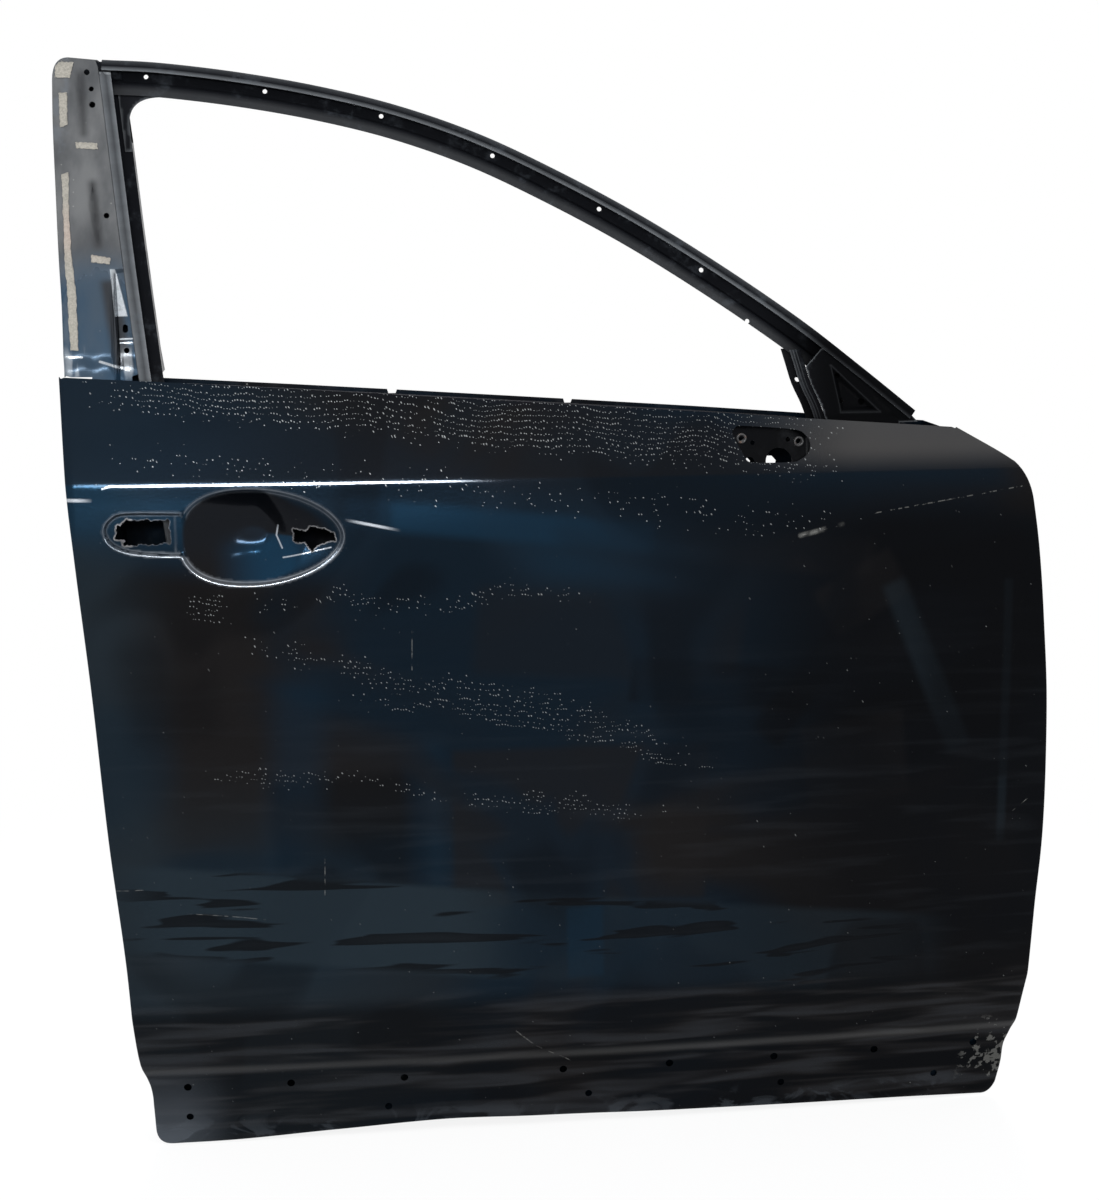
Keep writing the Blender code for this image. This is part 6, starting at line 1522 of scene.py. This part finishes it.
class DoorMirrorMount(bpy.types.Operator):
    """Mirror mount: dished plate behind the skin's opening, with arches, holes and two clinched ring nuts"""

    bl_idname = "door.mirror_mount"
    bl_label = "Mirror mount"

    @staticmethod
    def height(x, z):
        """Height of the plate: just behind the skin, its dish eased at rim and bottom, bosses round the nuts."""
        boss = sum(0.0012 * np.exp(-((x - a) ** 2 + (z - b) ** 2) / 0.0095 ** 2) for a, b in MIRROR_NUTS)
        dish = drawn(x, z, ccw(MIRROR_DISH), MIRROR_DISH_DEPTH, MIRROR_DISH_RAMP)
        return skin_y(x, z) + MIRROR_PLATE_DEPTH + dish - boss

    def execute(self, context):
        sizes = context.scene.door_sizes
        holes = [circle(x, z, MIRROR_NUT_RADIUS + CLEAR, 28) for x, z in MIRROR_NUTS]
        holes += [circle(x, z, r) for x, z, r in MIRROR_PLATE_HOLES]
        holes += [circle(x, z, r, 40) for x, z, r in MIRROR_ARCHES]
        outline = split_long(closed(np.array(MIRROR_PLATE)), 0.004)[:-1]
        spots = lattice(np.arange(0.16, 0.28, MIRROR_GRID), np.arange(0.77, 0.845, MIRROR_GRID))
        flat, faces = fill(ccw(outline), holes, (), [(spots, 0.0009)])
        points, faces = thick(lifted(flat, self.height), faces, sizes.gauge)
        c = context.scene.door_colours
        paint = kept("mount_paint", pressed_paint, tuple(c.paint_black), tuple(c.front_black), 0.4, 0.30, 0.03)
        piece("mirror_plate", points, faces, paint, ["mirror_bracket"])
        steel = kept("nut_steel", worn_steel, tuple(v * 0.45 for v in c.steel), 0.7, 0.45)
        for number, (x, z) in enumerate(MIRROR_NUTS, 1):
            front = float(skin_y(np.array([x]), np.array([z]))[0]) + MIRROR_PLATE_DEPTH + MIRROR_DISH_DEPTH
            front -= MIRROR_NUT_PROUD
            r, b = MIRROR_NUT_RADIUS, MIRROR_NUT_BORE
            profile = [(b, front + 0.0008), (b + 0.0006, front + 0.0002), (r - 0.0012, front),
                       (r - 0.0003, front + 0.0004), (r, front + 0.0012), (r, front + MIRROR_NUT_HEIGHT),
                       (b, front + MIRROR_NUT_HEIGHT)]
            points, faces = revolved(profile, (x, z))
            piece(f"ring_nut_{number}", points, faces, steel, [f"mirror_nut_{number}"])
        return {"FINISHED"}


class DoorTapes(bpy.types.Operator):
    """Foam left on the pillar plate: thin domed pads with ragged edges and a lumpy top"""

    bl_idname = "door.tapes"
    bl_label = "Foam tapes"

    def execute(self, context):
        for number, (name, outline) in enumerate(TAPES.items()):
            loop = torn(ccw(outline), 0.0006, 30 + number, 0.0012)
            low, high = loop.min(0), loop.max(0)
            spots = lattice(np.arange(low[0], high[0], TAPE_GRID), np.arange(low[1], high[1], TAPE_GRID))
            flat, faces = fill(loop, (), (), [(spots, 0.0006)])
            x, z = flat.T
            rise = np.sqrt(np.clip(depth_inside(x, z, loop) / 0.0016, 0, 1))
            lumps = 0.90 + 0.10 * np.sin(x * 2900 + np.sin(z * 1300) * 1.5) * np.sin(z * 2700 + x * 700)
            seat = DoorPillar.height(x, z) - TAPE_GAP
            top = seat - TAPE_THICKNESS * (0.25 + 0.75 * rise * lumps)
            points, faces = backed(np.stack([x, top, z], 1), np.stack([x, seat, z], 1), faces)
            piece(f"foam_{name}", points, faces, kept("torn_foam", torn_foam), [f"foam_tape_{name}"],
                  sharp=60.0)
        return {"FINISHED"}


class DoorHiddenPieces(bpy.types.Operator):
    """Pieces inside the shell: the frame's own solids with their coats, steel and mastic"""

    bl_idname = "door.hidden_pieces"
    bl_label = "Inner pieces"

    def execute(self, context):
        c = context.scene.door_colours
        steel = kept("zinc_steel", worn_steel, tuple(c.steel))
        finishes = {"inner_panel": shell_finish(), "pillar_inner": shell_finish()}
        for name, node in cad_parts.items():
            if node.hide_render:
                continue
            if name.startswith("mastic"):
                finish = kept("soft_mastic", soft_mastic)
            elif "nut" in name or "reinforcement" in name and not name.startswith(("belt", "lock")):
                finish = steel
            else:
                finish = finishes.get(name, black_finish())
            for place in node.material_slots:
                place.material = finish
        return {"FINISHED"}


# Camera read back from the photograph: place, then directions to the right, upwards and backwards
CAMERA_PLACE = (-0.26183674, -2.16151313, 1.09938343)
CAMERA_RIGHT = (0.99357186, -0.11320321, 0.0)
CAMERA_UP = (0.02392265, 0.20996637, 0.97741589)
CAMERA_BACK = (-0.11064662, -0.97113292, 0.2113248)
CAMERA_LENS = 57.6
CAMERA_SENSOR = 36.0

# Soft lamps as (place, point aimed at, width, height, power, whether reflections show it)
LAMPS = [((-0.55, -3.10, 1.46), (-0.30, 0.0, 0.78), 1.25, 0.18, 40.0, True),
         ((2.2, -2.2, 2.6), (0.0, 0.0, 0.6), 1.6, 1.6, 60.0, False),
         ((-2.4, -1.6, 2.4), (-0.2, 0.0, 0.8), 1.2, 1.6, 45.0, False),
         ((0.4, 2.4, 2.6), (0.0, 0.0, 0.6), 2.0, 2.0, 80.0, False),
         ((-0.75, -2.60, 3.10), (-0.35, 0.0, 0.72), 0.30, 0.05, 5.0, True),
         ((0.05, -2.40, 3.30), (-0.35, 0.0, 0.72), 0.34, 0.05, 5.0, True)]


class DoorStage(bpy.types.Operator):
    """Studio: pale floor and surroundings, soft lamps and the camera"""

    bl_idname = "door.stage"
    bl_label = "Studio"

    @staticmethod
    def pale_floor():
        """Floor that shows plain white to the camera and to reflections, apart from a soft shadow."""
        g = Graph("pale_floor")
        path = g.node("LightPath")
        seen = path.most(path.other("Is Glossy Ray")).most(path.other("Is Transmission Ray"))
        matt = g.node("BsdfDiffuse", {}, {0: (*bpy.context.scene.door_colours.floor, 1.0)})
        glow = g.node("Emission", {}, {0: (1.0, 1.0, 1.0, 1.0), 1: 1.0})
        away = (g.x * g.x + g.y * g.y) ** 0.5
        return g.surface(g.node("MixShader", {}, {0: seen * (0.84 + 0.16 * away.rise(0.5, 1.5)), 1: matt, 2: glow}))

    def execute(self, context):
        scene = context.scene
        mesh = bpy.data.meshes.new("floor")
        mesh.from_pydata([(-9, -9, 0), (9, -9, 0), (9, 9, 0), (-9, 9, 0)], [], [(0, 1, 2, 3)])
        mesh.materials.append(self.pale_floor())
        floor = bpy.data.objects.new("floor", mesh)
        scene.collection.objects.link(floor)

        world = bpy.data.worlds.new("studio")
        world.use_nodes = True
        tree = world.node_tree
        tree.nodes.clear()
        path = tree.nodes.new("ShaderNodeLightPath")
        end = tree.nodes.new("ShaderNodeOutputWorld")
        shades = []
        for strength, shade in ((0.55, (0.93, 0.96, 1.0, 1.0)), (1.0, (1.0, 1.0, 1.0, 1.0))):
            sky = tree.nodes.new("ShaderNodeBackground")
            sky.inputs[0].default_value = shade
            sky.inputs[1].default_value = strength
            shades.append(sky)
        seen = path.outputs["Is Camera Ray"]
        for other in ("Is Glossy Ray", "Is Transmission Ray"):
            most = tree.nodes.new("ShaderNodeMath")
            most.operation = "MAXIMUM"
            tree.links.new(seen, most.inputs[0])
            tree.links.new(path.outputs[other], most.inputs[1])
            seen = most.outputs[0]
        mix = tree.nodes.new("ShaderNodeMixShader")
        tree.links.new(seen, mix.inputs[0])
        tree.links.new(shades[0].outputs[0], mix.inputs[1])
        tree.links.new(shades[1].outputs[0], mix.inputs[2])
        tree.links.new(mix.outputs[0], end.inputs[0])
        scene.world = world

        for number, (place, aim, width, height, power, reflected) in enumerate(LAMPS, 1):
            lamp = bpy.data.lights.new(f"soft_lamp_{number}", "AREA")
            lamp.shape = "RECTANGLE"
            lamp.size, lamp.size_y, lamp.energy = width, height, power
            holder = bpy.data.objects.new(f"soft_lamp_{number}", lamp)
            holder.location = place
            holder.rotation_euler = (Vector(aim) - Vector(place)).to_track_quat("-Z", "Y").to_euler()
            holder.visible_camera = False
            holder.visible_glossy = reflected
            scene.collection.objects.link(holder)

        lens = bpy.data.cameras.new("camera")
        lens.sensor_fit = "VERTICAL"
        lens.sensor_height = CAMERA_SENSOR
        lens.lens = CAMERA_LENS
        lens.clip_start = 0.05
        camera = bpy.data.objects.new("camera", lens)
        turn = Matrix((CAMERA_RIGHT, CAMERA_UP, CAMERA_BACK)).transposed().to_4x4()
        camera.matrix_world = Matrix.Translation(CAMERA_PLACE) @ turn
        scene.collection.objects.link(camera)
        scene.camera = camera
        scene.view_settings.view_transform = "Standard"
        return {"FINISHED"}


PIECES = (DoorSkin, DoorHeader, DoorPillar, DoorRuns, DoorCorners, DoorMirrorMount, DoorTapes, DoorHiddenPieces,
          DoorStage)


class DoorPanel(bpy.types.Panel):
    """The door's pieces, sizes and colours"""

    bl_idname = "VIEW3D_PT_door_shell"
    bl_label = "Car door shell"
    bl_space_type = "VIEW_3D"
    bl_region_type = "UI"
    bl_category = "Door"

    def draw(self, context):
        for group in (context.scene.door_sizes, context.scene.door_colours):
            column = self.layout.column(align=True)
            for name in group.bl_rna.properties.keys():
                if name not in ("rna_type", "name"):
                    column.prop(group, name)
        column = self.layout.column(align=True)
        for operator in PIECES:
            column.operator(operator.bl_idname)


CLASSES = (DoorSizes, DoorColours, *PIECES, DoorPanel)


def register():
    """Register the classes and hang the properties on the scene."""
    for made in CLASSES:
        bpy.utils.register_class(made)
    bpy.types.Scene.door_sizes = PointerProperty(type=DoorSizes)
    bpy.types.Scene.door_colours = PointerProperty(type=DoorColours)


def unregister():
    """Take the properties and the classes away again."""
    del bpy.types.Scene.door_colours
    del bpy.types.Scene.door_sizes
    for made in reversed(CLASSES):
        bpy.utils.unregister_class(made)


def main():
    """Build the whole door."""
    register()
    for operator in PIECES:
        group, name = operator.bl_idname.split(".")
        getattr(getattr(bpy.ops, group), name)()


if __name__ == "__main__":
    main()
